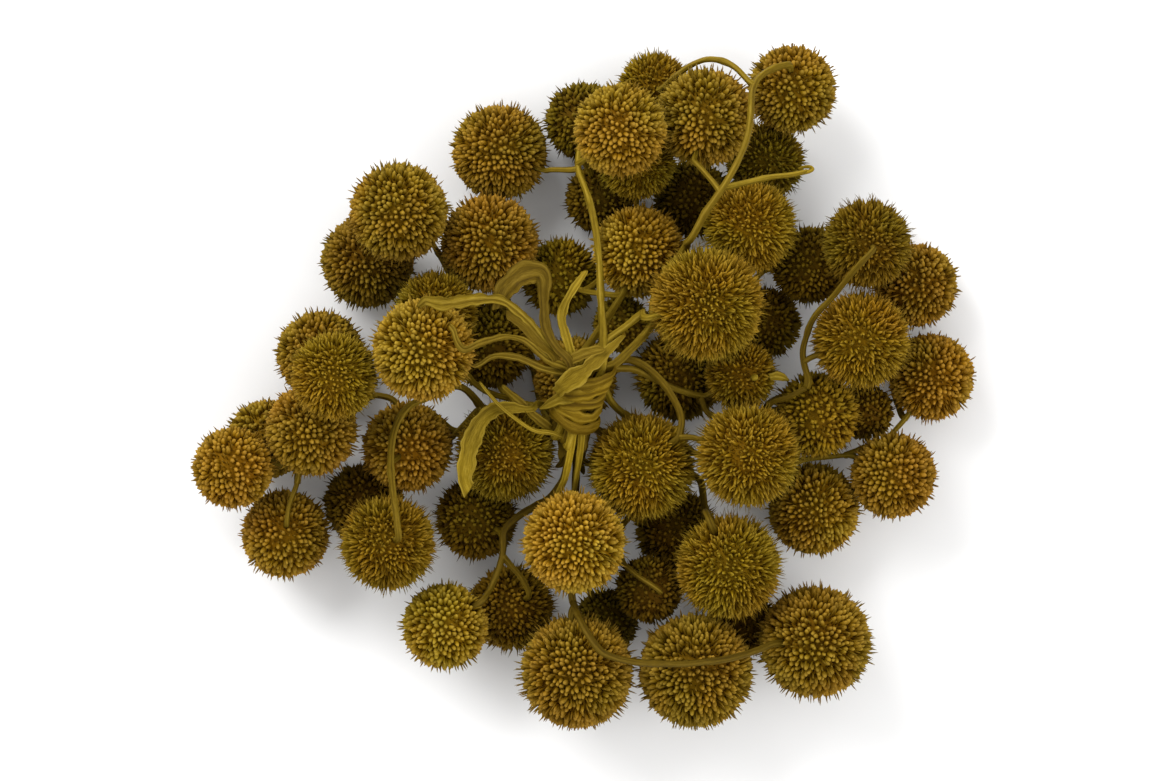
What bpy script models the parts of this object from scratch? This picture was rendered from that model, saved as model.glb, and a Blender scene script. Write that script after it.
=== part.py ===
"""A tied bunch of dried plane tree seed balls, lying flat as it was laid down.

Each seed ball is one node. All stalks with their cut ends are one fused node, and so is the tie.
Lengths in the tables and functions are in mm. +Z is up, and the bunch rests on z = 0.
"""

import heapq
import math

import bmesh
import bpy
import numpy as np
from mathutils import Matrix, Vector

MM = 0.001
STEP = 0.3  # mm for one unit of the layout below, whose y runs down
MIDDLE = (584.0, 385.0)  # the layout's point that lies over the origin

GAP = 0.3  # between neighbouring nodes
PRESS = 0.7  # how far a ball's tufts are flattened where it lies on the ground
CORE = 0.86  # radius between the tufts, as a share of the radius over their tips
TIP_SPREAD = 0.07  # how unevenly the tips lean, in radians
SHORTEST_TIP = 0.95
FEWEST, MORE = 16, 1.15  # points of a ball's core: this many, and so many more for each mm of radius

TRUNK = 1.3  # radius of a main stalk
BRANCH = 0.95
THIN = 0.75
STRAP = 0.85  # thickness of a flattened cut end

TIE_AT = np.array([-1.5, -5.4, 41.0])
TIE_ALONG = np.array([0.25, 0.82, 0.46]) / np.linalg.norm([0.25, 0.82, 0.46])
TIE_KEEP_OUT = 9.6  # stalks pass the tie's middle through the ring or outside this radius
BUNDLE = 5.3  # radius of the stalks gathered in the tie
BUNDLE_HALF = 9.05  # half its length
ROOT = 1.15  # radius of a stalk where it leaves the bundle
LEAVE = ((7.2, 1.0), (9.6, 1.06), (13.0, 1.37))  # along the tie, and the spread there, of a leaving stalk
BUNDLE_SIDES = 24
GROOVE = 0.5  # depth of the grooves between the stalks of the bundle
GROOVE_TURN = 0.07  # how far the first groove is turned, in radians
BAND = 1.1  # thickness of the tie
LOOP_SIDES = 12

CELL = 2.5  # grid that the hidden stalks are routed on
CLEAR = 1.35  # from a ball's tips to the middle of a routed stalk
IN_SIGHT = 3.0  # how much dearer a way in sight from above is
MARGIN = 28  # from the outer balls' middles to the rim of the grid
LOWEST = 1.7  # of the middle of a routed stalk
FAR = 7  # a stalk that starts farther than this from its sprig is routed to it
PITCH = 2.0  # between the points of a stalk while it is drawn smooth
SPARE = 0.6  # what a smooth stalk keeps clear of a ball beyond the gap
ROUGH, FINE = 0.8, 0.45  # how far a stalk's and a cut end's points may be off its smooth way

# Seed balls in the order in which they came to lie: number, middle x and y, radius, in layout units.
BALLS = (
    (7, 600, 197, 36), (57, 693, 197, 40), (8, 767, 159, 40), (5, 583, 118, 40),
    (4, 655, 85, 37), (14, 560, 276, 40), (52, 681, 376, 46), (58, 575, 378, 42), (50, 767, 322, 37),
    (47, 919, 284, 42), (53, 868, 412, 30), (19, 488, 345, 45), (20, 318, 354, 44),
    (24, 263, 440, 40), (27, 362, 505, 42), (31, 475, 520, 42), (33, 510, 610, 44),
    (36, 606, 624, 34), (54, 677, 532, 42), (55, 649, 590, 35), (56, 745, 625, 34),
    (16, 366, 260, 47), (12, 499, 150, 48), (26, 283, 535, 44), (22, 622, 324, 30),
    (6, 637, 160, 40), (49, 811, 264, 40), (9, 750, 227, 47), (51, 741, 375, 36),
    (13, 489, 243, 49), (18, 436, 312, 42), (25, 230, 468, 42), (23, 311, 430, 46),
    (28, 388, 543, 48), (30, 505, 452, 50), (32, 445, 627, 43), (35, 577, 675, 58),
    (40, 696, 674, 57), (41, 816, 643, 56), (39, 729, 567, 53), (44, 817, 415, 44),
    (42, 816, 510, 46), (43, 895, 476, 43), (46, 937, 377, 45), (1, 793, 85, 45),
    (10, 639, 251, 46), (15, 399, 212, 49), (2, 705, 118, 49), (37, 642, 467, 54),
    (34, 574, 542, 51), (3, 620, 132, 46), (11, 706, 305, 57), (21, 336, 376, 44),
    (17, 425, 350, 51), (29, 407, 447, 45), (38, 747, 455, 52), (45, 861, 340, 49),
    (48, 867, 244, 45),
)

# Stalks by sprig: the end of the tie that it leaves by, its balls, and the runs that lie in sight.
# A run is its points (layout x, y and height in mm), the ball it ends in or None for a bare end, and
# the layout point where it enters that ball, or None for the nearest side.
SPRIGS = (
    ("north", (1, 2, 4, 8), (
        (((690, 243, 56), (704, 214, 57), (722, 190, 58), (737, 163, 58), (746, 142, 56), (750, 118, 54),
          (750, 95, 46), (756, 79, 40), (772, 68, 36)), 1, (790, 66)),
        (((750, 86, 44), (737, 68, 40), (722, 60, 37), (706, 58, 36), (690, 65, 36),
          (672, 78, 33)), 4, (660, 88)),
        (((724, 189, 58), (745, 184, 56), (768, 178, 52), (792, 176, 46), (806, 172, 44)), None, None),
        (((719, 192, 58), (704, 174, 57), (694, 163, 54)), 2, (694, 158)),
    )),
    ("north", (5, 12, 3, 7), (
        (((602, 322, 44), (601, 300, 40), (600, 270, 38), (597, 235, 35), (592, 208, 32), (584, 184, 30),
          (577, 168, 27)), 5, None),
        (((575, 170, 25), (555, 168, 20), (541, 168, 18)), 12, None),
    )),
    ("north", (10, 6, 57, 14), ()),
    ("north", (11, 52, 22, 50, 49, 9), (
        (((615, 334, 42), (631, 323, 40), (645, 310, 38)), 11, (650, 318)),
    )),
    ("north", (37, 38), (
        (((624, 356, 43), (646, 365, 42), (663, 382, 41), (676, 402, 38), (683, 418, 34)), 37, (676, 440)),
    )),
    ("north", (51, 44, 48, 53, 45), (
        (((640, 372, 40), (674, 389, 34), (705, 398, 28)), 51, None),
        (((767, 402, 32), (790, 398, 34), (806, 388, 36)), None, None),
        (((812, 386, 36), (804, 368, 34), (801, 350, 32), (808, 332, 32), (819, 312, 36), (833, 296, 42),
          (846, 279, 48), (858, 264, 51)), 48, (872, 249)),
    )),
    ("north", (42, 43, 46, 47), ()),
    ("south", (13, 16, 15), ()),
    ("south", (58, 19, 18, 17), ()),
    ("south", (21, 23, 20, 24, 25, 26), (
        (((392, 397, 15), (372, 395, 14)), None, None),
        (((298, 482, 28), (291, 497, 31), (287, 510, 33)), 26, (286, 524)),
    )),
    ("south", (30, 27, 28, 29), (
        (((430, 398, 36), (412, 402, 39), (400, 415, 42), (392, 438, 43), (391, 468, 42), (395, 500, 38),
          (398, 520, 35)), 28, (399, 538)),
    )),
    ("south", (32, 33, 31), (
        (((569, 445, 34), (566, 476, 27), (551, 499, 24), (522, 513, 26), (501, 530, 25), (504, 550, 24),
          (500, 568, 24), (490, 590, 22)), 32, (478, 604)),
        (((502, 556, 24), (512, 568, 26), (524, 580, 27)), 33, (528, 598)),
    )),
    ("south", (34, 35, 41, 40, 36), (
        (((577, 445, 34), (576, 478, 24), (573, 530, 12), (570, 575, 20), (572, 602, 30), (584, 628, 42),
          (600, 652, 47), (630, 661, 48), (683, 663, 50), (727, 658, 48), (757, 650, 42)), 41, (776, 643)),
    )),
    ("south", (39, 54, 55, 56), (
        (((703, 489, 20), (705, 503, 20), (706, 514, 20)), 39, (712, 526)),
        (((621, 563, 22), (641, 579, 26), (654, 586, 27)), 55, (660, 592)),
    )),
)

# Cut ends: the sprig it belongs to, its points (layout x, y, height in mm) and its widths in mm.
TAILS = (
    (0, ((556, 432, 41), (534, 432, 44), (512, 416, 47), (494, 400, 50), (480, 382, 52)),
     (2.6, 1.9, 1.9, 1.8, 1.3)),
    (1, ((550, 418, 40), (520, 408, 44), (496, 407, 47), (480, 420, 48), (471, 442, 48), (464, 478, 46),
         (470, 490, 45)), (2.6, 3.0, 4.2, 4.6, 4.4, 4.2, 2.2)),
    (2, ((561, 441, 35), (560, 459, 32)), (2.6, 2.0)),
    (3, ((562, 428, 38), (540, 424, 38), (520, 402, 40), (502, 386, 42)), (2.6, 2.8, 3.0, 1.8)),
    (4, ((566, 452, 32), (556, 468, 28)), (2.4, 1.8)),
    (5, ((586, 452, 32), (592, 466, 27)), (2.4, 1.8)),
    (6, ((578, 456, 31), (584, 474, 24)), (2.2, 1.6)),
    (7, ((571, 350, 51), (559, 318, 55), (573, 290, 56), (586, 272, 55)), (2.8, 3.0, 2.6, 1.6)),
    (8, ((559, 358, 53), (541, 347, 56), (527, 329, 60), (507, 314, 62)), (3.0, 2.8, 2.6, 2.4)),
    (9, ((557, 350, 54), (545, 330, 57), (544, 296, 60), (546, 272, 61), (526, 273, 62), (505, 288, 62),
         (497, 310, 62)), (2.8, 2.8, 2.6, 4.2, 4.6, 4.4, 2.4)),
    (10, ((548, 362, 52), (528, 341, 57), (506, 336, 61), (482, 343, 64), (464, 354, 69.5), (456, 340, 71.5),
          (452, 327, 72)), (2.6, 2.2, 2.0, 2.2, 2.4, 2.2, 1.6)),
    (11, ((544, 370, 51), (520, 357, 56), (494, 355, 60), (474, 367, 62)), (2.6, 2.2, 2.0, 1.4)),
    (12, ((552, 352, 54), (530, 322, 60), (502, 299, 64), (474, 301, 66), (447, 307, 68), (421, 308, 68.5)),
     (2.8, 2.6, 2.4, 3.0, 2.8, 1.6)),
    (13, ((567, 362, 54), (588, 352, 58), (604, 349, 57)), (2.8, 3.6, 2.2)),
)

# The tie: its turns as name, lean, shift along the bundle and width, and its ends as turn and reach.
TURNS = (("turn_a", 0.7, -3.4, 3.0), ("turn_b", -2.2, 0.2, 3.2))
ENDS = ((-0.45, 6.2), (2.5, 5.4))
KNOT = (3.3, 2.5, 1.5)  # its half sizes: across the bundle, along it and upwards

# Colours of the solids.
BROWN = (0.10, 0.060, 0.008)
OLIVE = (0.13, 0.085, 0.010)
STALK = (0.15, 0.105, 0.012)
PALE = (0.19, 0.13, 0.02)
LIGHT_BALLS = (1, 2, 3, 10, 15, 25, 32, 34, 43, 46)


def place(x, y, z=0.0):
    """The point in mm of a layout point."""
    return np.array([(x - MIDDLE[0]) * STEP, (MIDDLE[1] - y) * STEP, z])


def settle():
    """Middle and radius of each ball, lowered in turn until it meets the ground or the balls below."""
    middles, radii = {}, {}
    for number, x, y, units in BALLS:
        radius, at = units * STEP, place(x, y)
        at[2] = radius - PRESS
        for other, middle in middles.items():
            reach = radius + radii[other] + GAP
            apart = math.hypot(*(at - middle)[:2])
            if apart < reach:
                at[2] = max(at[2], middle[2] + math.sqrt(reach**2 - apart**2))
        middles[number], radii[number] = at, radius
    return middles, radii


class Room:
    """The free space round the balls and the tie, on a grid."""

    def __init__(self, middles, radii):
        low = middles.min(axis=0) - MARGIN
        low[2] = LOWEST
        self.low = low
        high = middles.max(axis=0) + MARGIN
        axes = [np.arange(a, b, CELL) for a, b in zip(low, high)]
        grid = np.stack(np.meshgrid(*axes, indexing="ij"), axis=-1)
        self.shape = grid.shape[:3]
        shut = np.zeros(self.shape, bool)
        under = np.zeros(self.shape, bool)
        for middle, radius in zip(middles, radii):
            away = grid - middle
            shut |= (away**2).sum(axis=-1) < (radius + CLEAR) ** 2
            under |= (np.hypot(away[..., 0], away[..., 1]) < radius) & (away[..., 2] < 0)
        inner = np.zeros(self.shape, bool)
        inner[1:-1, 1:-1, :-1] = True
        # The cells on the rim are shut, so that no step leaves the grid.
        shut |= ~inner
        rows = np.array([self.shape[1] * self.shape[2], self.shape[2], 1])
        moves = [m for m in np.ndindex(3, 3, 3) if m != (1, 1, 1)]
        self.moves = [(int((np.array(m) - 1) @ rows), CELL * math.dist(m, (1, 1, 1))) for m in moves]
        self.rows = rows
        self.points = grid.reshape(-1, 3)
        self.shut = shut.reshape(-1).tolist()
        self.dear = np.where(under, 1.0, IN_SIGHT).reshape(-1)

    def cell(self, point):
        """The number of the grid cell nearest to a point."""
        index = np.clip(np.round((point - self.low) / CELL), 1, np.array(self.shape) - 2)
        return int(index @ self.rows)

    def cheapest(self, starts, goal, near):
        """Points of the cheapest free way from any of the starts to within near of the goal."""
        left = np.maximum(np.linalg.norm(self.points - goal, axis=1) - near, 0).tolist()
        dear = self.dear.tolist()
        cost = {self.cell(start): 0.0 for start in starts}
        queue = [(left[cell], cell) for cell in cost]
        heapq.heapify(queue)
        came, done = {}, set()
        while queue:
            _, cell = heapq.heappop(queue)
            if left[cell] <= 0:
                break
            if cell in done:
                continue
            done.add(cell)
            for move, length in self.moves:
                other = cell + move
                if other < 0 or other in done or self.shut[other]:
                    continue
                total = cost[cell] + length * dear[other]
                if total < cost.get(other, math.inf):
                    cost[other], came[other] = total, cell
                    heapq.heappush(queue, (total + left[other], other))
        way = [cell]
        while way[-1] in came:
            way.append(came[way[-1]])
        return self.points[way[::-1]]


def spaced(path, step):
    """The path with its points evenly spread about a step apart."""
    path = np.asarray(path, float)
    run = np.concatenate([[0], np.cumsum(np.linalg.norm(np.diff(path, axis=0), axis=1))])
    at = np.linspace(0, run[-1], max(3, round(run[-1] / step) + 1))
    return np.stack([np.interp(at, run, path[:, k]) for k in range(3)], axis=1)


def relaxed(path, radius, middles, radii, hold, rounds=120, last=12):
    """The path drawn smooth and clear of balls and tie. Hold is how firmly it keeps its place in plan.

    The last rounds only push it clear.
    """
    path = spaced(path, PITCH)
    home = path.copy()
    reach = radii + radius + GAP + SPARE
    for turn in range(rounds):
        inner = path[1:-1]
        if turn < rounds - last:
            inner += 0.5 * ((path[:-2] + path[2:]) / 2 - inner)
            inner[:, :2] += hold * (home[1:-1, :2] - inner[:, :2])
        away = inner[:, None] - middles
        far = np.linalg.norm(away, axis=2)
        short = np.clip(reach - far, 0, None)
        inner += (away / far[..., None] * short[..., None]).sum(axis=1)
        inner[:, 2] = np.maximum(inner[:, 2], radius + 0.35)
    return path


def thinned(path, within):
    """The path without the points that lie this close to a straight run."""
    line = path[-1] - path[0]
    away = path - path[0]
    along = np.clip(away @ line / max(line @ line, 1e-9), 0, 1)
    off = np.linalg.norm(away - along[:, None] * line, axis=1)
    most = int(off.argmax())
    if off[most] <= within or len(path) < 3:
        return path[[0, -1]]
    return np.concatenate([thinned(path[: most + 1], within)[:-1], thinned(path[most:], within)])


def tie_frame():
    """Two directions across the tied bundle: sideways, and the one that faces up most."""
    side = np.cross(TIE_ALONG, [0, 0, 1])
    side /= np.linalg.norm(side)
    return side, np.cross(side, TIE_ALONG)


def bundle_spots():
    """Where each sprig passes through the tie, as offsets from its middle, the highest first."""
    side, up = tie_frame()
    pitch = 2 * ROOT + 0.05
    spots = []
    for row in range(-2, 3):
        for place_in_row in range(-2, 3):
            x = (place_in_row + 0.5 * (row % 2)) * pitch
            y = row * pitch * 0.866
            spots.append((x, y))
    spots = sorted(spots, key=lambda p: (round(math.hypot(*p), 3), p))[: len(SPRIGS)]
    spots = np.array(sorted(spots, key=lambda p: (-p[1], p[0])))
    spots -= (spots.max(axis=0) + spots.min(axis=0)) / 2
    return [x * side + y * up for x, y in spots]


class Bunch:
    """Lays out all stalks: where the balls lie, and the way of each stalk to them."""

    def __init__(self):
        self.middles, self.radii = settle()
        self.balls = list(self.middles)
        self.solid = np.array([self.middles[n] for n in self.balls] + [TIE_AT])
        self.reach = np.array([self.radii[n] for n in self.balls] + [TIE_KEEP_OUT])
        self.room = Room(self.solid, self.reach)
        self.entry = {}
        self.stalks = []
        self.spots = self.sorted_spots()
        for number, sprig in enumerate(SPRIGS):
            self.grow(number, *sprig)

    def sorted_spots(self):
        """The spot of each sprig in the tie: those that leave by the south end lie on top."""
        spots = bundle_spots()
        order = [n for n, s in enumerate(SPRIGS) if s[0] == "south"]
        order += [n for n, s in enumerate(SPRIGS) if s[0] == "north"]
        return {sprig: spot for sprig, spot in zip(order, spots)}

    def enter(self, ball, toward):
        """The last two points of a stalk that comes to a ball from a point."""
        way = toward - self.middles[ball]
        way /= np.linalg.norm(way)
        self.entry[ball] = way
        outside = self.middles[ball] + way * (self.radii[ball] + 1.6)
        return outside, self.middles[ball] + way * (self.radii[ball] * CORE + 0.75)

    def face_point(self, ball, spot):
        """A point well above the place where a stalk in sight enters a ball."""
        flat = (place(*spot) - self.middles[ball])[:2]
        lift = math.sqrt(max(self.radii[ball] ** 2 - flat @ flat, (0.25 * self.radii[ball]) ** 2))
        return self.middles[ball] + np.array([flat[0], flat[1], lift])

    def lay(self, path, end, thick, thin, hold):
        """Smooths one stalk and keeps it. The end holds its last points, which stay as they are."""
        path = relaxed(path, thick, self.solid, self.reach, hold)
        if end:
            path = np.concatenate([path, np.array(end[1:])])
        self.stalks.append((path, thick, thin, self.seen))
        return path

    def grow(self, number, side, balls, runs):
        """Lays the sprig's runs in sight, then joins its other balls to the nearest stalk of it."""
        sign = 1.0 if side == "north" else -1.0
        spot = self.spots[number]
        start = [TIE_AT + TIE_ALONG * sign * t + spot * s for t, s in LEAVE]
        tree = [start[-1][None]]
        root = start
        waiting = [ball for ball in balls if ball not in [run[1] for run in runs]]
        self.seen = bool(runs)
        for points, ball, spot in runs:
            path = [place(*p) for p in points]
            end = None
            if ball is not None:
                end = self.enter(ball, self.face_point(ball, spot) if spot else path[-1])
                path.append(end[0])
            self.join(tree, path, end, root, 0.25)
            root = None
        while waiting:
            reached = np.concatenate(tree)
            gaps = [np.linalg.norm(reached - self.middles[b], axis=1).min() for b in waiting]
            ball = waiting.pop(int(np.argmin(gaps)))
            near = self.radii[ball] + CLEAR + 1.3 * CELL
            way = self.room.cheapest(reached, self.middles[ball], near)
            end = self.enter(ball, way[-1])
            self.join(tree, [*way[-1:], end[0]], end, root, 0.0, way[:-1])
            root = None

    def join(self, tree, path, end, root, hold, way=None):
        """Adds a stalk that starts at the nearest point of the sprig, by a free way where it is far."""
        reached = np.concatenate(tree)
        if way is None:
            gap = np.linalg.norm(reached - path[0], axis=1).min()
            way = self.room.cheapest(reached, path[0], CELL) if gap > FAR else path[:1]
        first = np.array(list(way) + list(path))
        nearest = reached[int(np.linalg.norm(reached - first[0], axis=1).argmin())]
        first = np.concatenate([nearest[None], first])
        thick, thin = (TRUNK, BRANCH) if root else (BRANCH, THIN)
        laid = self.lay(first, end, thick, thin, hold)
        if root:
            self.stalks[-1] = (np.concatenate([np.array(root[:-1]), laid]), thick, thin, self.seen)
        tree.append(laid[:-1] if end else laid)


def tube(name, path, thick, thin, sides_up):
    """A round stalk along a path, thinner towards its far end."""
    curve = bpy.data.curves.new(name, "CURVE")
    curve.dimensions = "3D"
    curve.bevel_depth = MM
    curve.bevel_resolution = sides_up
    curve.use_fill_caps = True
    spline = curve.splines.new("POLY")
    spline.points.add(len(path) - 1)
    for point, at, share in zip(spline.points, path, np.linspace(0, 1, len(path))):
        point.co = (*(at * MM), 1)
        point.radius = thick + (thin - thick) * share
    if thick == TRUNK:
        spline.points[0].radius = spline.points[1].radius = ROOT
    return meshed(name, curve)


def meshed(name, curve):
    """The curve as a closed mesh object of its own."""
    guide = bpy.data.objects.new(name + "_guide", curve)
    bpy.context.scene.collection.objects.link(guide)
    mesh = bpy.data.meshes.new_from_object(guide.evaluated_get(bpy.context.evaluated_depsgraph_get()))
    bpy.data.objects.remove(guide)
    shape = bmesh.new()
    shape.from_mesh(mesh)
    bmesh.ops.remove_doubles(shape, verts=shape.verts, dist=1e-6)
    bmesh.ops.recalc_face_normals(shape, faces=shape.faces)
    shape.to_mesh(mesh)
    shape.free()
    return bpy.data.objects.new(name, mesh)


def ribbon(name, path, widths, thickness, flat, closed=False):
    """A strap with a flat oblong section along a path; flat holds the way its face looks at each point."""
    path = np.asarray(path, float)
    if closed:
        along = np.roll(path, -1, axis=0) - np.roll(path, 1, axis=0)
    else:
        along = np.gradient(path, axis=0)
    along /= np.linalg.norm(along, axis=1)[:, None]
    across = np.cross(along, flat)
    across /= np.linalg.norm(across, axis=1)[:, None]
    face = np.cross(across, along)
    half = np.asarray(widths)[:, None] / 2
    shape = bmesh.new()
    rings = []
    for u, v in ((-1, -1), (1, -1), (1, 1), (-1, 1)):
        corner = path + across * half * u + face * thickness / 2 * v
        rings.append([shape.verts.new(p * MM) for p in corner])
    count = len(path)
    for at in range(count if closed else count - 1):
        for side in range(4):
            other, after = (side + 1) % 4, (at + 1) % count
            shape.faces.new((rings[side][at], rings[other][at], rings[other][after], rings[side][after]))
    if not closed:
        shape.faces.new([ring[0] for ring in rings])
        shape.faces.new([ring[-1] for ring in rings])
    bmesh.ops.recalc_face_normals(shape, faces=shape.faces)
    bmesh.ops.triangulate(shape, faces=shape.faces)
    mesh = bpy.data.meshes.new(name)
    shape.to_mesh(mesh)
    shape.free()
    return bpy.data.objects.new(name, mesh)


def tail(bunch, number, points, widths):
    """A cut end: it leaves the tie on the side away from its sprig and flattens into a strap."""
    side = SPRIGS[number][0]
    sign = -1.0 if side == "north" else 1.0
    root = [TIE_AT + TIE_ALONG * sign * t + bunch.spots[number] * s for t, s in LEAVE[::2]]
    path = np.array(root + [place(*p) for p in points])
    run = np.concatenate([[0], np.cumsum(np.linalg.norm(np.diff(path, axis=0), axis=1))])
    path = relaxed(path, max(widths) / 2 + 0.4, bunch.solid, bunch.reach, 0.3)
    at = np.linspace(0, run[-1], len(path))
    wide = np.interp(at, run, [2.2, 2.25, *widths])
    keep = np.isin(path, thinned(path, FINE)).all(axis=1)
    thick = np.interp(at, run[[0, 1, 2, -1]], [1.7, 1.5, STRAP, STRAP])
    return path[keep], wide[keep], thick[keep]


def union(name, pieces):
    """One body made of all the pieces, which overlap."""
    first, rest = pieces[0], pieces[1:]
    bpy.context.scene.collection.objects.link(first)
    group = bpy.data.collections.new(name + "_pieces")
    bpy.context.scene.collection.children.link(group)
    for piece in rest:
        group.objects.link(piece)
    cut = first.modifiers.new("union", "BOOLEAN")
    cut.operation = "UNION"
    cut.operand_type = "COLLECTION"
    cut.collection = group
    cut.solver = "MANIFOLD"
    bpy.context.view_layer.update()
    mesh = bpy.data.meshes.new_from_object(first.evaluated_get(bpy.context.evaluated_depsgraph_get()))
    for piece in [first, *rest]:
        bpy.data.objects.remove(piece)
    bpy.data.collections.remove(group)
    mesh.name = name
    drop_crumbs(mesh)
    return bpy.data.objects.new(name, mesh)


def drop_crumbs(mesh):
    """Takes out the loose slivers of a few faces that a union can leave where pieces cross."""
    shape = bmesh.new()
    shape.from_mesh(mesh)
    waiting = set(shape.verts)
    while waiting:
        island, edge = set(), [waiting.pop()]
        while edge:
            vert = edge.pop()
            island.add(vert)
            near = {e.other_vert(vert) for e in vert.link_edges} & waiting
            waiting -= near
            edge.extend(near)
        corners = np.array([vert.co for vert in island])
        if np.ptp(corners, axis=0).max() < 2 * MM:
            bmesh.ops.delete(shape, geom=list(island), context="VERTS")
    shape.to_mesh(mesh)
    shape.free()


def finish(obj, colour, roughness):
    """Links the object and gives it a material of its own."""
    material = bpy.data.materials.new(obj.name)
    material.use_nodes = True
    shader = material.node_tree.nodes["Principled BSDF"]
    shader.inputs["Base Color"].default_value = (*colour, 1)
    shader.inputs["Roughness"].default_value = roughness
    obj.data.materials.clear()
    obj.data.materials.append(material)
    bpy.context.scene.collection.objects.link(obj)


def sphere_points(count):
    """Points spread evenly over a ball of radius 1, with one at each pole."""
    k = np.arange(count)
    z = 1 - 2 * k / (count - 1)
    turn = k * math.pi * (3 - math.sqrt(5))
    flat = np.sqrt(np.clip(1 - z**2, 0, None))
    return np.stack([flat * np.cos(turn), flat * np.sin(turn), z], axis=1)


def seed_ball(number, middle, radius, entry):
    """One seed ball: a pointed tuft on every facet of a round core, with a bare spot at the stalk."""
    rng = np.random.default_rng(900 + number)
    shape = bmesh.new()
    for point in sphere_points(FEWEST + round(MORE * radius)):
        shape.verts.new(point * radius * CORE)
    bmesh.ops.convex_hull(shape, input=shape.verts)
    bmesh.ops.recalc_face_normals(shape, faces=shape.faces)
    tips = bmesh.ops.poke(shape, faces=shape.faces)["verts"]
    for tip in tips:
        lean = Vector(rng.normal(0, TIP_SPREAD, 3))
        tip.co = (tip.co.normalized() + lean).normalized() * radius * rng.uniform(SHORTEST_TIP, 1.0)
    turn = Vector((0, 0, 1)).rotation_difference(Vector(entry)).to_matrix()
    spin = Matrix.Rotation(rng.uniform(0, math.tau), 3, "Z")
    bmesh.ops.transform(shape, matrix=(turn @ spin).to_4x4(), verts=shape.verts)
    bmesh.ops.translate(shape, vec=Vector(middle), verts=shape.verts)
    parts = shape.verts[:] + shape.edges[:] + shape.faces[:]
    cut = bmesh.ops.bisect_plane(shape, geom=parts, plane_co=(0, 0, 0), plane_no=(0, 0, 1), clear_inner=True)
    edges = [e for e in cut["geom_cut"] if isinstance(e, bmesh.types.BMEdge)]
    if edges:
        bmesh.ops.holes_fill(shape, edges=edges)
    bmesh.ops.triangulate(shape, faces=shape.faces)
    bmesh.ops.scale(shape, vec=(MM, MM, MM), verts=shape.verts)
    mesh = bpy.data.meshes.new(f"seed_ball_{number:02d}")
    shape.to_mesh(mesh)
    shape.free()
    return bpy.data.objects.new(mesh.name, mesh)


def bundle():
    """The gathered stalks inside the tie, as one grooved body."""
    side, up = tie_frame()
    shape = bmesh.new()
    rings = []
    for along in (-BUNDLE_HALF, BUNDLE_HALF):
        ring = []
        for number in range(BUNDLE_SIDES):
            turn = GROOVE_TURN + number * math.tau / BUNDLE_SIDES
            out = (BUNDLE - GROOVE * (number % 2)) * (math.cos(turn) * side + math.sin(turn) * up)
            ring.append(shape.verts.new((TIE_AT + TIE_ALONG * along + out) * MM))
        rings.append(ring)
    for a in range(BUNDLE_SIDES):
        b = (a + 1) % BUNDLE_SIDES
        shape.faces.new((rings[0][a], rings[0][b], rings[1][b], rings[1][a]))
    shape.faces.new(rings[0])
    shape.faces.new(rings[1])
    bmesh.ops.recalc_face_normals(shape, faces=shape.faces)
    mesh = bpy.data.meshes.new("bundle")
    shape.to_mesh(mesh)
    shape.free()
    return bpy.data.objects.new("bundle", mesh)


def stalks(bunch):
    """All stalks and cut ends as one body."""
    pieces = [bundle()]
    for count, (path, thick, thin, seen) in enumerate(bunch.stalks):
        round_one = thick == TRUNK and seen
        pieces.append(tube(f"stalk_{count}", thinned(path, ROUGH), thick, thin, 1 if round_one else 0))
    for count, (number, points, widths) in enumerate(TAILS):
        path, wide, thick = tail(bunch, number, points, widths)
        flat = np.tile([0.05, 0.1, 1.0], (len(path), 1))
        pieces.append(ribbon(f"tail_{count}", path, wide, thick[:, None], flat))
    return union("stalks", pieces)


def loop(name, lean, shift, width):
    """One turn of the tie round the bundle, leaning along it by lean on the side that faces up."""
    side, up = tie_frame()
    turns = np.arange(LOOP_SIDES) * math.tau / LOOP_SIDES
    out = np.cos(turns)[:, None] * side + np.sin(turns)[:, None] * up
    along = shift + lean * np.sin(turns + 0.6)
    path = TIE_AT + out * (BUNDLE + GAP + BAND / 2 + 0.35) + along[:, None] * TIE_ALONG
    return ribbon(name, path, np.full(LOOP_SIDES, width), BAND, out, closed=True)


def tie():
    """Two turns round the bundle, and a knot with two short ends on the side that faces up."""
    side, up = tie_frame()
    pieces = [loop(*turn) for turn in TURNS]
    knot = bmesh.new()
    bmesh.ops.create_icosphere(knot, subdivisions=2, radius=1.0)
    at = TIE_AT + up * (BUNDLE + GAP + 1.9) - side * 1.2 - TIE_ALONG * 1.4
    frame = np.stack([side, TIE_ALONG, up], axis=1) * KNOT
    for vert in knot.verts:
        vert.co = Vector((at + frame @ np.array(vert.co)) * MM)
    mesh = bpy.data.meshes.new("knot")
    knot.to_mesh(mesh)
    knot.free()
    pieces.append(bpy.data.objects.new("knot", mesh))
    for turn, reach in ENDS:
        way = side * math.cos(turn) + TIE_ALONG * math.sin(turn)
        path = [at + way * reach * t + up * (0.25 - 0.9 * t * t) for t in (0.25, 0.6, 0.85, 1.1)]
        flat = np.tile(up, (len(path), 1))
        pieces.append(ribbon(f"end_{reach:.0f}", path, [3.0, 3.4, 3.2, 1.8], 0.9, flat))
    return union("tie", pieces)


def main():
    """Clears the scene, then builds the balls, the stalks and the tie."""
    for obj in list(bpy.data.objects):
        bpy.data.objects.remove(obj)
    bunch = Bunch()
    for number in sorted(bunch.balls):
        ball = seed_ball(number, bunch.middles[number], bunch.radii[number], bunch.entry[number])
        light = 1.3 if number in LIGHT_BALLS else 1.0
        finish(ball, tuple(light * c for c in (OLIVE if number % 3 else BROWN)), 0.85)
    finish(stalks(bunch), STALK, 0.7)
    finish(tie(), PALE, 0.75)


main()
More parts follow.
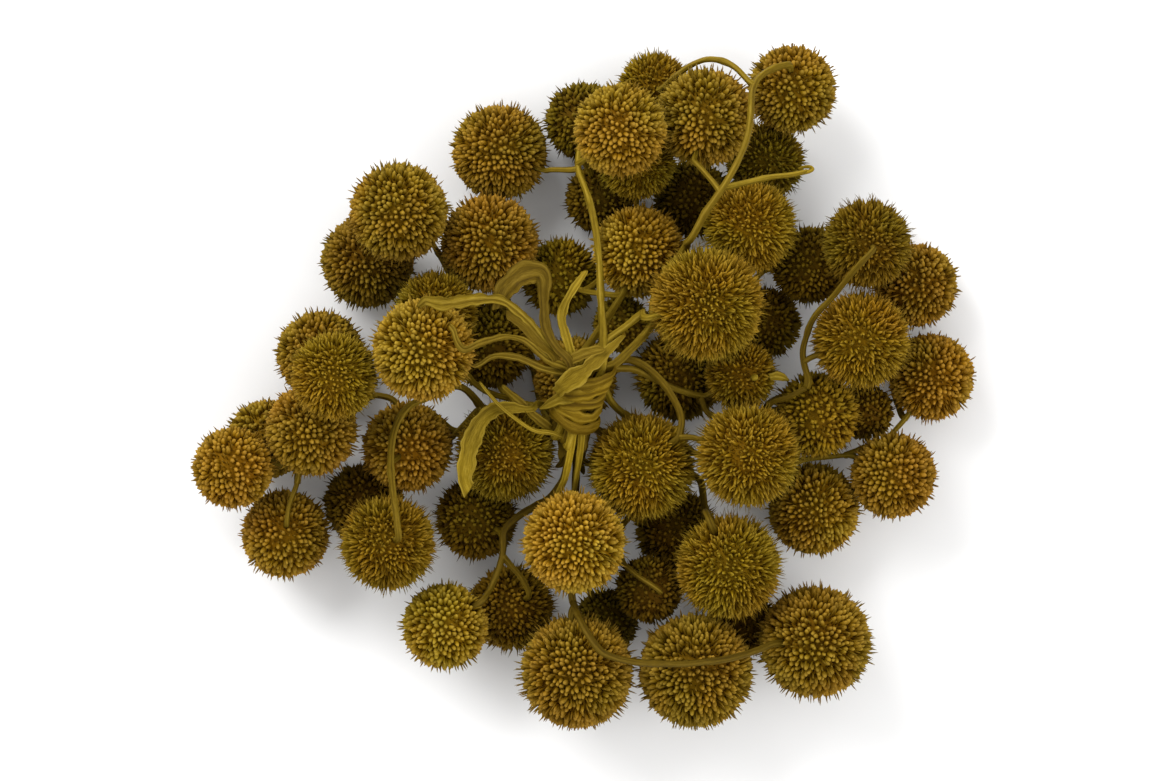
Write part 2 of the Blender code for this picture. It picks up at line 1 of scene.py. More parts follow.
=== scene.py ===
"""Looks of a tied bunch of dried plane tree seed balls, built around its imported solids.

Lengths in the layout and in the shapes are in mm, and are turned into metres where a mesh is made.
+Z is up, +Y is the top of the picture, and the bunch lies on z = 0.
"""
from __future__ import annotations

import heapq
import logging
import math
from dataclasses import dataclass, field
from enum import Enum
from typing import ClassVar

import bpy
import numpy as np
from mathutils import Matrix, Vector

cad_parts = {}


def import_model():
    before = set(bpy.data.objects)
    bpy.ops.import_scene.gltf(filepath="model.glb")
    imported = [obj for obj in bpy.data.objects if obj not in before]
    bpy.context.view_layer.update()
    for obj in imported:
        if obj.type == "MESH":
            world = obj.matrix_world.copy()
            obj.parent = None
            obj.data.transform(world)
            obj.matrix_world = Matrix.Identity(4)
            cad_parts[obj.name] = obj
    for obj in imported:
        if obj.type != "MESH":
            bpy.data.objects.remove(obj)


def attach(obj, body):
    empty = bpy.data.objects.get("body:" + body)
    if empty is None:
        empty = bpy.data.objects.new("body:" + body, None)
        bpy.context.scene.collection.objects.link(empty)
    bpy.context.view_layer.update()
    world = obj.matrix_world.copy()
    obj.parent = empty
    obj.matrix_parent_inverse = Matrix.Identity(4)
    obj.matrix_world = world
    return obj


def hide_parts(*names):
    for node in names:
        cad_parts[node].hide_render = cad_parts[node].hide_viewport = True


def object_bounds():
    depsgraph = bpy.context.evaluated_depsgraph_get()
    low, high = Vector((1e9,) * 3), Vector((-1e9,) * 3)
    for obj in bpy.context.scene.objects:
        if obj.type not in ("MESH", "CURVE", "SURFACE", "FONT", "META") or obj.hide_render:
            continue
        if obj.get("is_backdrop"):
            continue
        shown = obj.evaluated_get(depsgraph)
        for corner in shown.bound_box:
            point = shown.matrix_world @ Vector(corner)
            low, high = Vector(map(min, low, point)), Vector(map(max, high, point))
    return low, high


LOG = logging.getLogger("seed_ball_bunch")
Rgb = tuple[float, float, float]
Point = tuple[float, float, float]

MM = 0.001
STEP = 0.3  # mm for one unit of the layout below, whose y runs down
MIDDLE = (584.0, 385.0)  # the layout's point that lies over the origin
PICTURE = (1168, 781)  # width and height of the layout

GAP = 0.3  # between neighbouring pieces
PRESS = 0.7  # how far a ball's tufts are flattened where it lies on the ground
CORE = 0.86  # radius between the tufts, as a share of the radius over their tips
TRUNK = 1.3  # radius of a main stalk
BRANCH = 0.95  # radius of a side stalk, and of a main stalk's far end
THIN = 0.75  # radius of a side stalk's far end
STRAP = 0.85  # thickness of a flattened cut end

TIE_AT = np.array([-1.5, -5.4, 41.0])
TIE_ALONG = np.array([0.25, 0.82, 0.46]) / np.linalg.norm([0.25, 0.82, 0.46])
TIE_KEEP_OUT = 9.6  # stalks pass the tie's middle through the ring or outside this radius
BUNDLE = 5.3  # radius of the stalks gathered in the tie
ROOT = 1.15  # radius of a stalk where it leaves the bundle
BUNDLE_PITCH = 2 * ROOT + 0.05  # between the stalks of the bundle
ROW = 0.866  # between the rows of a hexagonal grid whose pitch is 1
LEAVE = ((7.2, 1.0), (9.6, 1.06), (13.0, 1.37))  # along the tie, and the spread there, of a leaving stalk
BAND = 1.1  # thickness of the tie

CELL = 2.5  # grid that the hidden stalks are routed on
CLEAR = 1.35  # from a ball's tips to the middle of a routed stalk
NEAR = 1.3  # how far beyond CLEAR from its ball a routed way may end, in cells
LAST_FREE = 1.6  # from a ball's tips to the last free point of its stalk
PLUGGED = 0.75  # from a ball's core out to the end of its stalk
LEAST_LIFT = 0.25  # of a point on a ball's upper side, in shares of its radius
IN_SIGHT = 3.0  # how much dearer a way in sight from above is
MARGIN = 28  # from the outer balls' middles to the rim of the grid
LOWEST = 1.7  # of the middle of a routed stalk
FAR = 7  # a stalk that starts farther than this from its sprig is routed to it
PITCH = 2.0  # between the points of a stalk while it is drawn smooth
SPARE = 0.6  # what a smooth stalk keeps clear of a ball beyond the gap
LIFTED = 0.35  # what a smooth stalk keeps clear of the ground
ROUNDS = 120  # of smoothing
PUSHES = 12  # the last of these rounds, which only push a stalk clear
RUN_HOLD, CUT_HOLD = 0.25, 0.3  # how firmly a run in sight and a cut end keep their place in plan
CUT_CLEAR = 0.4  # what a cut end keeps clear of a ball beyond half its width
CUT_WIDTHS, CUT_DEPTHS = (2.2, 2.25), (1.7, 1.5)  # of a cut end where it leaves the tie

# Seed balls in the order in which they came to lie: number, middle x and y, radius, in layout units.
BALLS = (
    (7, 600, 197, 36), (57, 693, 197, 40), (8, 767, 159, 40), (5, 583, 118, 40),
    (4, 655, 85, 37), (14, 560, 276, 40), (52, 681, 376, 46), (58, 575, 378, 42), (50, 767, 322, 37),
    (47, 919, 284, 42), (53, 868, 412, 30), (19, 488, 345, 45), (20, 318, 354, 44),
    (24, 263, 440, 40), (27, 362, 505, 42), (31, 475, 520, 42), (33, 510, 610, 44),
    (36, 606, 624, 34), (54, 677, 532, 42), (55, 649, 590, 35), (56, 745, 625, 34),
    (16, 366, 260, 47), (12, 499, 150, 48), (26, 283, 535, 44), (22, 622, 324, 30),
    (6, 637, 160, 40), (49, 811, 264, 40), (9, 750, 227, 47), (51, 741, 375, 36),
    (13, 489, 243, 49), (18, 436, 312, 42), (25, 230, 468, 42), (23, 311, 430, 46),
    (28, 388, 543, 48), (30, 505, 452, 50), (32, 445, 627, 43), (35, 577, 675, 58),
    (40, 696, 674, 57), (41, 816, 643, 56), (39, 729, 567, 53), (44, 817, 415, 44),
    (42, 816, 510, 46), (43, 895, 476, 43), (46, 937, 377, 45), (1, 793, 85, 45),
    (10, 639, 251, 46), (15, 399, 212, 49), (2, 705, 118, 49), (37, 642, 467, 54),
    (34, 574, 542, 51), (3, 620, 132, 46), (11, 706, 305, 57), (21, 336, 376, 44),
    (17, 425, 350, 51), (29, 407, 447, 45), (38, 747, 455, 52), (45, 861, 340, 49),
    (48, 867, 244, 45),
)

# Stalks by sprig: the end of the tie that it leaves by, its balls, and the runs that lie in sight.
# A run is its points (layout x, y and height in mm), the ball it ends in or None for a bare end, and
# the layout point where it enters that ball, or None for the nearest side.
SPRIGS = (
    ("north", (1, 2, 4, 8), (
        (((690, 243, 56), (704, 214, 57), (722, 190, 58), (737, 163, 58), (746, 142, 56), (750, 118, 54),
          (750, 95, 46), (756, 79, 40), (772, 68, 36)), 1, (790, 66)),
        (((750, 86, 44), (737, 68, 40), (722, 60, 37), (706, 58, 36), (690, 65, 36),
          (672, 78, 33)), 4, (660, 88)),
        (((724, 189, 58), (745, 184, 56), (768, 178, 52), (792, 176, 46), (806, 172, 44)), None, None),
        (((719, 192, 58), (704, 174, 57), (694, 163, 54)), 2, (694, 158)),
    )),
    ("north", (5, 12, 3, 7), (
        (((602, 322, 44), (601, 300, 40), (600, 270, 38), (597, 235, 35), (592, 208, 32), (584, 184, 30),
          (577, 168, 27)), 5, None),
        (((575, 170, 25), (555, 168, 20), (541, 168, 18)), 12, None),
    )),
    ("north", (10, 6, 57, 14), ()),
    ("north", (11, 52, 22, 50, 49, 9), (
        (((615, 334, 42), (631, 323, 40), (645, 310, 38)), 11, (650, 318)),
    )),
    ("north", (37, 38), (
        (((624, 356, 43), (646, 365, 42), (663, 382, 41), (676, 402, 38), (683, 418, 34)), 37, (676, 440)),
    )),
    ("north", (51, 44, 48, 53, 45), (
        (((640, 372, 40), (674, 389, 34), (705, 398, 28)), 51, None),
        (((767, 402, 32), (790, 398, 34), (806, 388, 36)), None, None),
        (((812, 386, 36), (804, 368, 34), (801, 350, 32), (808, 332, 32), (819, 312, 36), (833, 296, 42),
          (846, 279, 48), (858, 264, 51)), 48, (872, 249)),
    )),
    ("north", (42, 43, 46, 47), ()),
    ("south", (13, 16, 15), ()),
    ("south", (58, 19, 18, 17), ()),
    ("south", (21, 23, 20, 24, 25, 26), (
        (((392, 397, 15), (372, 395, 14)), None, None),
        (((298, 482, 28), (291, 497, 31), (287, 510, 33)), 26, (286, 524)),
    )),
    ("south", (30, 27, 28, 29), (
        (((430, 398, 36), (412, 402, 39), (400, 415, 42), (392, 438, 43), (391, 468, 42), (395, 500, 38),
          (398, 520, 35)), 28, (399, 538)),
    )),
    ("south", (32, 33, 31), (
        (((569, 445, 34), (566, 476, 27), (551, 499, 24), (522, 513, 26), (501, 530, 25), (504, 550, 24),
          (500, 568, 24), (490, 590, 22)), 32, (478, 604)),
        (((502, 556, 24), (512, 568, 26), (524, 580, 27)), 33, (528, 598)),
    )),
    ("south", (34, 35, 41, 40, 36), (
        (((577, 445, 34), (576, 478, 24), (573, 530, 12), (570, 575, 20), (572, 602, 30), (584, 628, 42),
          (600, 652, 47), (630, 661, 48), (683, 663, 50), (727, 658, 48), (757, 650, 42)), 41, (776, 643)),
    )),
    ("south", (39, 54, 55, 56), (
        (((703, 489, 20), (705, 503, 20), (706, 514, 20)), 39, (712, 526)),
        (((621, 563, 22), (641, 579, 26), (654, 586, 27)), 55, (660, 592)),
    )),
)

# Cut ends: the sprig it belongs to, its points (layout x, y, height in mm) and its widths in mm.
TAILS = (
    (0, ((556, 432, 41), (534, 432, 44), (512, 416, 47), (494, 400, 50), (480, 382, 52)),
     (1.8, 1.3, 1.3, 1.2, 0.9)),
    (1, ((550, 418, 40), (520, 408, 44), (496, 407, 47), (480, 420, 48), (471, 442, 48), (464, 478, 46),
         (470, 490, 45)), (2.2, 2.0, 3.2, 5.2, 5.4, 5.4, 4.4)),
    (2, ((561, 441, 35), (560, 459, 32)), (2.6, 2.0)),
    (3, ((562, 428, 38), (540, 424, 38), (520, 402, 40), (502, 386, 42)), (2.6, 2.8, 3.0, 1.8)),
    (4, ((566, 452, 32), (556, 468, 28)), (2.4, 1.8)),
    (5, ((586, 452, 32), (592, 466, 27)), (2.4, 1.8)),
    (6, ((578, 456, 31), (584, 474, 24)), (2.2, 1.6)),
    (7, ((571, 350, 51), (559, 318, 55), (573, 290, 56), (586, 272, 55)), (2.8, 3.0, 2.6, 1.6)),
    (8, ((559, 358, 53), (541, 347, 56), (527, 329, 60), (507, 314, 62)), (3.0, 2.8, 2.6, 2.4)),
    (9, ((557, 350, 54), (545, 330, 57), (544, 296, 60), (546, 272, 61), (526, 273, 62), (505, 288, 62),
         (497, 310, 62)), (2.8, 2.8, 3.0, 5.6, 7.6, 7.0, 3.0)),
    (10, ((548, 362, 52), (528, 341, 57), (506, 336, 61), (482, 343, 64), (464, 354, 69.5), (456, 340, 71.5),
          (452, 327, 72)), (2.6, 2.2, 2.0, 2.2, 2.4, 2.2, 1.6)),
    (11, ((544, 370, 51), (520, 357, 56), (494, 355, 60), (474, 367, 62)), (2.6, 2.2, 2.0, 1.4)),
    (12, ((552, 352, 54), (530, 322, 60), (502, 299, 64), (474, 301, 66), (447, 307, 68), (421, 308, 68.5)),
     (2.8, 2.6, 2.8, 4.2, 3.8, 1.6)),
    (13, ((567, 362, 54), (588, 352, 58), (604, 349, 57)), (2.8, 3.6, 2.2)),
)


class Coat(Enum):
    """How the outside of a seed ball looks."""

    GRAINS = "blunt grains with a short beak"
    HAIRS = "long bent hairs"
    # Its colours are darker all over, as painted shade for a ball deep in the bunch.
    SHADED = "grains of a ball deep in the bunch"


HAIRY = (4, 6, 8, 9, 11, 18, 21, 28, 30, 37, 38, 39, 45, 48, 51)
# Balls deep in the bunch, which get the darker shaded coat as painted shade.
DEEP = (5, 7, 14, 19, 22, 27, 31, 33, 36, 44, 49, 50, 52, 53, 54, 55, 56, 57)
# How much lighter or darker some balls are than the rest.
SHADES = {1.4: (10, 14, 34, 44), 1.22: (9, 17, 32, 37, 42), 1.12: (3, 11, 21, 25, 26, 29, 38, 39, 45, 46),
          0.9: (5, 18, 22), 0.75: (7, 8, 16, 27, 36, 48, 55, 56, 57)}
# Balls that are greener (-1) or warmer (1) than the rest.
WARMTH = {-1.0: (5, 6, 7, 8, 14, 18, 19, 22, 32, 36, 52, 57), 1.0: (13, 23, 25, 26, 29, 43, 45, 46, 47)}
SHADE_OF = {number: shade for shade, numbers in SHADES.items() for number in numbers}
WARMTH_OF = {number: warmth for warmth, numbers in WARMTH.items() for number in numbers}


def coat_of(number: int) -> Coat:
    """The coat of a seed ball.

    Args:
        number: Its number.

    Returns:
        Its coat.
    """
    if number in DEEP:
        return Coat.SHADED
    return Coat.HAIRS if number in HAIRY else Coat.GRAINS


def place(x: float, y: float, z: float = 0.0) -> np.ndarray:
    """The point in mm of a layout point."""
    return np.array([(x - MIDDLE[0]) * STEP, (MIDDLE[1] - y) * STEP, z])


def side_of(number: int) -> float:
    """The end of the tie that a sprig leaves by to its balls: 1 for north and -1 for south."""
    return 1.0 if SPRIGS[number][0] == "north" else -1.0


def settle() -> tuple[dict[int, np.ndarray], dict[int, float]]:
    """Lowers the balls in turn, each until it meets the ground or the balls below.

    Its height is the most of its radius less PRESS and, for each ball under it,
    that ball's height plus the root of (sum of radii + GAP) squared less their distance in plan squared.

    Returns:
        The middle of each ball and its radius, by number.
    """
    middles: dict[int, np.ndarray] = {}
    radii: dict[int, float] = {}
    for number, x, y, units in BALLS:
        radius, at = units * STEP, place(x, y)
        at[2] = radius - PRESS
        for other, middle in middles.items():
            reach = radius + radii[other] + GAP
            apart = math.hypot(*(at - middle)[:2])
            if apart < reach:
                at[2] = max(at[2], middle[2] + math.sqrt(reach**2 - apart**2))
        middles[number], radii[number] = at, radius
    return middles, radii


class Room:
    """The free space round the balls and the tie, on a grid."""

    def __init__(self, middles: np.ndarray, radii: np.ndarray) -> None:
        """Marks the cells that are taken, and those out of sight from above.

        Args:
            middles: Middles of the balls and of the tie.
            radii: Their radii.
        """
        low = middles.min(axis=0) - MARGIN
        low[2] = LOWEST
        self.low = low
        high = middles.max(axis=0) + MARGIN
        axes = [np.arange(a, b, CELL) for a, b in zip(low, high)]
        grid = np.stack(np.meshgrid(*axes, indexing="ij"), axis=-1)
        self.shape = grid.shape[:3]
        shut = np.zeros(self.shape, bool)
        under = np.zeros(self.shape, bool)
        for middle, radius in zip(middles, radii):
            away = grid - middle
            shut |= (away**2).sum(axis=-1) < (radius + CLEAR) ** 2
            under |= (np.hypot(away[..., 0], away[..., 1]) < radius) & (away[..., 2] < 0)
        inner = np.zeros(self.shape, bool)
        inner[1:-1, 1:-1, :-1] = True
        # The cells on the rim are shut, so that no step leaves the grid.
        shut |= ~inner
        self.rows = np.array([self.shape[1] * self.shape[2], self.shape[2], 1])
        moves = [m for m in np.ndindex(3, 3, 3) if m != (1, 1, 1)]
        self.moves = [(int((np.array(m) - 1) @ self.rows), CELL * math.dist(m, (1, 1, 1))) for m in moves]
        self.points = grid.reshape(-1, 3)
        self.shut = shut.reshape(-1).tolist()
        self.dear = np.where(under, 1.0, IN_SIGHT).reshape(-1).tolist()

    def cell(self, point: np.ndarray) -> int:
        """The number of the grid cell nearest to a point."""
        index = np.clip(np.round((point - self.low) / CELL), 1, np.array(self.shape) - 2)
        return int(index @ self.rows)

    def cheapest(self, starts: np.ndarray, goal: np.ndarray, near: float) -> np.ndarray:
        """The cheapest free way from any of the starts to the goal.

        Args:
            starts: Points that the way may start from.
            goal: Where it goes.
            near: How near to the goal it ends.

        Returns:
            The middles of the cells that it passes.
        """
        left = np.maximum(np.linalg.norm(self.points - goal, axis=1) - near, 0).tolist()
        cost = {self.cell(start): 0.0 for start in starts}
        queue = [(left[cell], cell) for cell in cost]
        heapq.heapify(queue)
        came: dict[int, int] = {}
        done: set[int] = set()
        cell = queue[0][1]
        while queue:
            _, cell = heapq.heappop(queue)
            if left[cell] <= 0:
                break
            if cell in done:
                continue
            done.add(cell)
            for move, length in self.moves:
                other = cell + move
                if other < 0 or other in done or self.shut[other]:
                    continue
                total = cost[cell] + length * self.dear[other]
                if total < cost.get(other, math.inf):
                    cost[other], came[other] = total, cell
                    heapq.heappush(queue, (total + left[other], other))
        way = [cell]
        while way[-1] in came:
            way.append(came[way[-1]])
        return self.points[way[::-1]]


def unit(vectors: np.ndarray) -> np.ndarray:
    """Each of the vectors divided by its length."""
    return vectors / np.linalg.norm(vectors, axis=1)[:, None]


def run_of(path: np.ndarray) -> np.ndarray:
    """The length of a path up to each of its points: the running sum of the steps between them."""
    return np.concatenate([[0], np.cumsum(np.linalg.norm(np.diff(path, axis=0), axis=1))])


def spaced(path: np.ndarray, step: float) -> np.ndarray:
    """The path with its points spread evenly along its straight pieces.

    Args:
        path: Its points.
        step: About how far apart the new ones lie.

    Returns:
        The new points, at least three.
    """
    path = np.asarray(path, float)
    run = run_of(path)
    at = np.linspace(0, run[-1], max(3, round(run[-1] / step) + 1))
    return np.stack([np.interp(at, run, path[:, k]) for k in range(3)], axis=1)


def eased(path: np.ndarray, step: float, rounds: int) -> np.ndarray:
    """The path spread evenly and smoothed, with both ends kept.

    In each round a point goes half way to the mean of its neighbours.

    Args:
        path: Its points.
        step: About how far apart the new ones lie.
        rounds: How often they are smoothed.

    Returns:
        The new points.
    """
    path = spaced(path, step)
    for _ in range(rounds):
        path[1:-1] += 0.5 * ((path[:-2] + path[2:]) / 2 - path[1:-1])
    return path


def relaxed(path: np.ndarray, radius: float, middles: np.ndarray, radii: np.ndarray,
            hold: float) -> np.ndarray:
    """The path drawn smooth and kept clear of the balls and the tie.

    In each round a point goes half way to the mean of its neighbours, back by hold of its shift in plan,
    and out of every ball that it is too near to, along that ball's radius.

    Args:
        path: Points, of which the first and last stay.
        radius: Radius of the stalk.
        middles: Middles of the balls and of the tie.
        radii: Their radii.
        hold: Share of the shift in plan that is undone in each round.

    Returns:
        The new path.
    """
    path = spaced(path, PITCH)
    home = path.copy()
    reach = radii + radius + GAP + SPARE
    for turn in range(ROUNDS):
        inner = path[1:-1]
        if turn < ROUNDS - PUSHES:
            inner += 0.5 * ((path[:-2] + path[2:]) / 2 - inner)
            inner[:, :2] += hold * (home[1:-1, :2] - inner[:, :2])
        away = inner[:, None] - middles
        far = np.linalg.norm(away, axis=2)
        short = np.clip(reach - far, 0, None)
        inner += (away / far[..., None] * short[..., None]).sum(axis=1)
        inner[:, 2] = np.maximum(inner[:, 2], radius + LIFTED)
    return path


def tie_frame() -> tuple[np.ndarray, np.ndarray]:
    """Two directions across the tied bundle.

    Returns:
        The one that lies level, and the one that faces up most.
    """
    side = np.cross(TIE_ALONG, [0, 0, 1])
    side /= np.linalg.norm(side)
    return side, np.cross(side, TIE_ALONG)


def bundle_spots() -> list[np.ndarray]:
    """Where each sprig passes through the tie: the spots of a hexagonal grid that are nearest its middle.

    Returns:
        Offsets from the tie's middle, the highest first.
    """
    side, up = tie_frame()
    spots = [((column + 0.5 * (row % 2)) * BUNDLE_PITCH, row * BUNDLE_PITCH * ROW)
             for row in range(-2, 3) for column in range(-2, 3)]
    spots = sorted(spots, key=lambda p: (round(math.hypot(*p), 3), p))[: len(SPRIGS)]
    spots = np.array(sorted(spots, key=lambda p: (-p[1], p[0])))
    spots -= (spots.max(axis=0) + spots.min(axis=0)) / 2
    return [x * side + y * up for x, y in spots]


@dataclass
class StalkRun:
    """One stalk: its points, radius at both ends and sprig, and if it starts in the tie or ends in a ball."""

    path: np.ndarray
    thick: float
    thin: float
    sprig: int
    main: bool
    enters: bool


class Layout:
    """Where the balls lie, and the way of each stalk to them."""

    def __init__(self) -> None:
        """Settles the balls and grows every sprig."""
        self.middles, self.radii = settle()
        self.balls = list(self.middles)
        self.solid = np.array([self.middles[n] for n in self.balls] + [TIE_AT])
        self.reach = np.array([self.radii[n] for n in self.balls] + [TIE_KEEP_OUT])
        self.room = Room(self.solid, self.reach)
        self.entry: dict[int, np.ndarray] = {}
        self.stalks: list[StalkRun] = []
        # The sprigs that leave by the south end lie on top.
        order = [n for n, s in enumerate(SPRIGS) if s[0] == "south"]
        order += [n for n, s in enumerate(SPRIGS) if s[0] == "north"]
        self.spots = dict(zip(order, bundle_spots()))
        for number, (_, balls, runs) in enumerate(SPRIGS):
            self.grow(number, balls, runs)

    def enter(self, ball: int, toward: np.ndarray) -> tuple[np.ndarray, np.ndarray]:
        """The last two points of a stalk that comes to a ball.

        Args:
            ball: The ball's number.
            toward: The point that it comes from.

        Returns:
            A point just outside the ball and one in its core.
        """
        way = toward - self.middles[ball]
        way /= np.linalg.norm(way)
        self.entry[ball] = way
        outside = self.middles[ball] + way * (self.radii[ball] + LAST_FREE)
        return outside, self.middles[ball] + way * (self.radii[ball] * CORE + PLUGGED)

    def face_point(self, ball: int, spot: tuple[float, float]) -> np.ndarray:
        """The point of a ball's upper side that lies over a layout point.

        Args:
            ball: The ball's number.
            spot: The layout point.

        Returns:
            The point, at least LEAST_LIFT of the radius above the ball's middle.
        """
        flat = (place(*spot) - self.middles[ball])[:2]
        lift = math.sqrt(max(self.radii[ball] ** 2 - flat @ flat, (LEAST_LIFT * self.radii[ball]) ** 2))
        return self.middles[ball] + np.array([flat[0], flat[1], lift])

    def grow(self, number: int, balls: tuple, runs: tuple) -> None:
        """Lays a sprig's runs in sight, then joins its other balls to its nearest stalk.

        Args:
            number: The sprig's place in the table.
            balls: Numbers of its balls.
            runs: Its runs in sight.
        """
        spot = self.spots[number]
        root = [TIE_AT + TIE_ALONG * side_of(number) * t + spot * s for t, s in LEAVE]
        tree = [root[-1][None]]
        waiting = [ball for ball in balls if ball not in [run[1] for run in runs]]
        for points, ball, where in runs:
            path = [place(*p) for p in points]
            end = None
            if ball is not None:
                end = self.enter(ball, self.face_point(ball, where) if where else path[-1])
                path.append(end[0])
            self.join(number, tree, path, end, root, RUN_HOLD)
            root = None
        while waiting:
            reached = np.concatenate(tree)
            gaps = [np.linalg.norm(reached - self.middles[b], axis=1).min() for b in waiting]
            ball = waiting.pop(int(np.argmin(gaps)))
            near = self.radii[ball] + CLEAR + NEAR * CELL
            way = self.room.cheapest(reached, self.middles[ball], near)
            end = self.enter(ball, way[-1])
            self.join(number, tree, [*way[-1:], end[0]], end, root, 0.0, way[:-1])
            root = None

    def join(self, number: int, tree: list, path: list, end: tuple | None, root: list | None, hold: float,
             way: np.ndarray | None = None) -> None:
        """Adds a stalk that starts at the nearest point of its sprig.

        Args:
            number: The sprig's place in the table.
            tree: The paths of the sprig so far, to which this one is added.
            path: Its points past the free way.
            end: Its last two points where it enters a ball.
            root: The points in the tie that it starts with, or None for a side stalk.
            hold: Share of its shift in plan that is undone in each round.
            way: The free way to its first point, found here if it is None.
        """
        reached = np.concatenate(tree)
        if way is None:
            gap = np.linalg.norm(reached - path[0], axis=1).min()
            way = self.room.cheapest(reached, path[0], CELL) if gap > FAR else path[:1]
        first = np.array(list(way) + list(path))
        nearest = reached[int(np.linalg.norm(reached - first[0], axis=1).argmin())]
        first = np.concatenate([nearest[None], first])
        thick, thin = (TRUNK, BRANCH) if root else (BRANCH, THIN)
        laid = relaxed(first, thick, self.solid, self.reach, hold)
        if end:
            laid = np.concatenate([laid, np.array(end[1:])])
        tree.append(laid[:-1] if end else laid)
        whole = np.concatenate([np.array(root[:-1]), laid]) if root else laid
        self.stalks.append(StalkRun(whole, thick, thin, number, bool(root), bool(end)))

    def cut_end(self, number: int, points: tuple, widths: tuple) -> tuple[np.ndarray, np.ndarray, np.ndarray]:
        """Lays a cut end.

        Args:
            number: Its sprig's place in the table.
            points: Its points, in layout units.
            widths: Its width at each.

        Returns:
            Its path, with its width and thickness at each point.
        """
        root = [TIE_AT - TIE_ALONG * side_of(number) * t + self.spots[number] * s for t, s in LEAVE[::2]]
        path = np.array(root + [place(*p) for p in points])
        run = run_of(path)
        path = relaxed(path, max(widths) / 2 + CUT_CLEAR, self.solid, self.reach, CUT_HOLD)
        at = np.linspace(0, run[-1], len(path))
        wide = np.interp(at, run, [*CUT_WIDTHS, *widths])
        thick = np.interp(at, run[[0, 1, 2, -1]], [*CUT_DEPTHS, STRAP, STRAP])
        return path, wide, thick


@dataclass
class Surface:
    """Points, faces and painted values of a mesh in the making, in mm."""

    points: list[np.ndarray] = field(default_factory=list)
    faces: list[np.ndarray] = field(default_factory=list)
    caps: list[list[int]] = field(default_factory=list)
    values: dict[str, list[np.ndarray]] = field(default_factory=dict)
    count: int = 0

    def add(self, points: np.ndarray, faces: np.ndarray, caps: list[list[int]], **values: np.ndarray) -> None:
        """Adds one surface.

        Args:
            points: n by 3.
            faces: Corner numbers, within these points; a last corner of -1 marks a triangle.
            caps: Closing faces with any number of corners.
            **values: One value, or a row of three, for each point.
        """
        self.faces.append(np.where(faces < 0, -1, faces + self.count))
        self.caps += [[c + self.count for c in cap] for cap in caps]
        self.points.append(points)
        for name, value in values.items():
            self.values.setdefault(name, []).append(np.asarray(value, np.float32))
        self.count += len(points)

    def build(self, name: str, low: np.ndarray, high: np.ndarray, **even: float) -> bpy.types.Object:
        """Makes the mesh object, kept within a box.

        Args:
            name: The piece's name.
            low: Lowest corner of the box, in metres.
            high: Highest corner.
            **even: Painted values that are the same all over the piece.

        Returns:
            The object, linked to the scene.
        """
        points = np.clip(np.concatenate(self.points) * MM, low, high)
        faces = np.concatenate(self.faces)
        triangle = faces[:, 3] < 0
        loops = np.concatenate([faces[~triangle].ravel(), faces[triangle][:, :3].ravel(),
                                np.array([c for cap in self.caps for c in cap], int)])
        sizes = np.concatenate([np.full((~triangle).sum(), 4), np.full(triangle.sum(), 3),
                                np.array([len(cap) for cap in self.caps], int)])
        mesh = bpy.data.meshes.new(name)
        mesh.vertices.add(len(points))
        mesh.vertices.foreach_set("co", points.astype(np.float32).ravel())
        mesh.loops.add(len(loops))
        mesh.loops.foreach_set("vertex_index", loops.astype(np.int32))
        mesh.polygons.add(len(sizes))
        mesh.polygons.foreach_set("loop_start", (np.cumsum(sizes) - sizes).astype(np.int32))
        mesh.polygons.foreach_set("use_smooth", np.ones(len(sizes), bool))
        painted = {key: np.concatenate(parts) for key, parts in self.values.items()}
        painted |= {key: np.full(len(points), value, np.float32) for key, value in even.items()}
        for key, value in painted.items():
            rows = value.ndim == 2
            slot = mesh.attributes.new(key, "FLOAT_VECTOR" if rows else "FLOAT", "POINT")
            slot.data.foreach_set("vector" if rows else "value", value.ravel())
        mesh.update(calc_edges=True)
        mesh.validate()
        piece = bpy.data.objects.new(name, mesh)
        bpy.context.scene.collection.objects.link(piece)
        return piece


def ring_faces(rows: int, columns: int, closed: bool = False) -> np.ndarray:
    """Four-cornered faces of a grid whose columns close on themselves, row after row.

    Args:
        rows: Number of rings.
        columns: Points in each.
        closed: True if the last ring is joined to the first.

    Returns:
        Corner numbers, four for each face.
    """
    row, column = np.meshgrid(np.arange(rows if closed else rows - 1), np.arange(columns), indexing="ij")
    beyond, after = (row + 1) % rows, (column + 1) % columns
    corners = (row * columns + column, row * columns + after,
               beyond * columns + after, beyond * columns + column)
    return np.stack(corners, axis=-1).reshape(-1, 4)


def spindle_faces(rows: int, columns: int) -> np.ndarray:
    """Faces of rings between a foot point and a tip point, which are numbered after the rings.

    Args:
        rows: Number of rings.
        columns: Points in each.

    Returns:
        Corner numbers, four for each face; a last corner of -1 marks a triangle.
    """
    column = np.arange(columns)
    after = (column + 1) % columns
    blank, last = np.full(columns, -1), (rows - 1) * columns
    foot = np.stack([after, column, np.full(columns, rows * columns), blank], axis=1)
    tip = np.stack([last + column, last + after, np.full(columns, rows * columns + 1), blank], axis=1)
    return np.concatenate([ring_faces(rows, columns), foot, tip])


def end_caps(count: int, columns: int) -> list[list[int]]:
    """The faces that close the first and last of count points' rings, each with that many columns."""
    return [list(range(columns))[::-1], list(range(count - columns, count))]


def frames(path: np.ndarray) -> tuple[np.ndarray, np.ndarray]:
    """Two directions across a path at each point.

    The first is that of the point before, less its share along the path, so it turns as little as it can.

    Args:
        path: Its points.

    Returns:
        The first direction at each point, and the one across it.
    """
    along = unit(np.gradient(path, axis=0))
    start = np.eye(3)[int(np.abs(along[0]).argmin())]
    side = np.empty_like(path)
    for at, way in enumerate(along):
        start = start - (start @ way) * way
        start = start / np.linalg.norm(start)
        side[at] = start
    return side, np.cross(along, side)


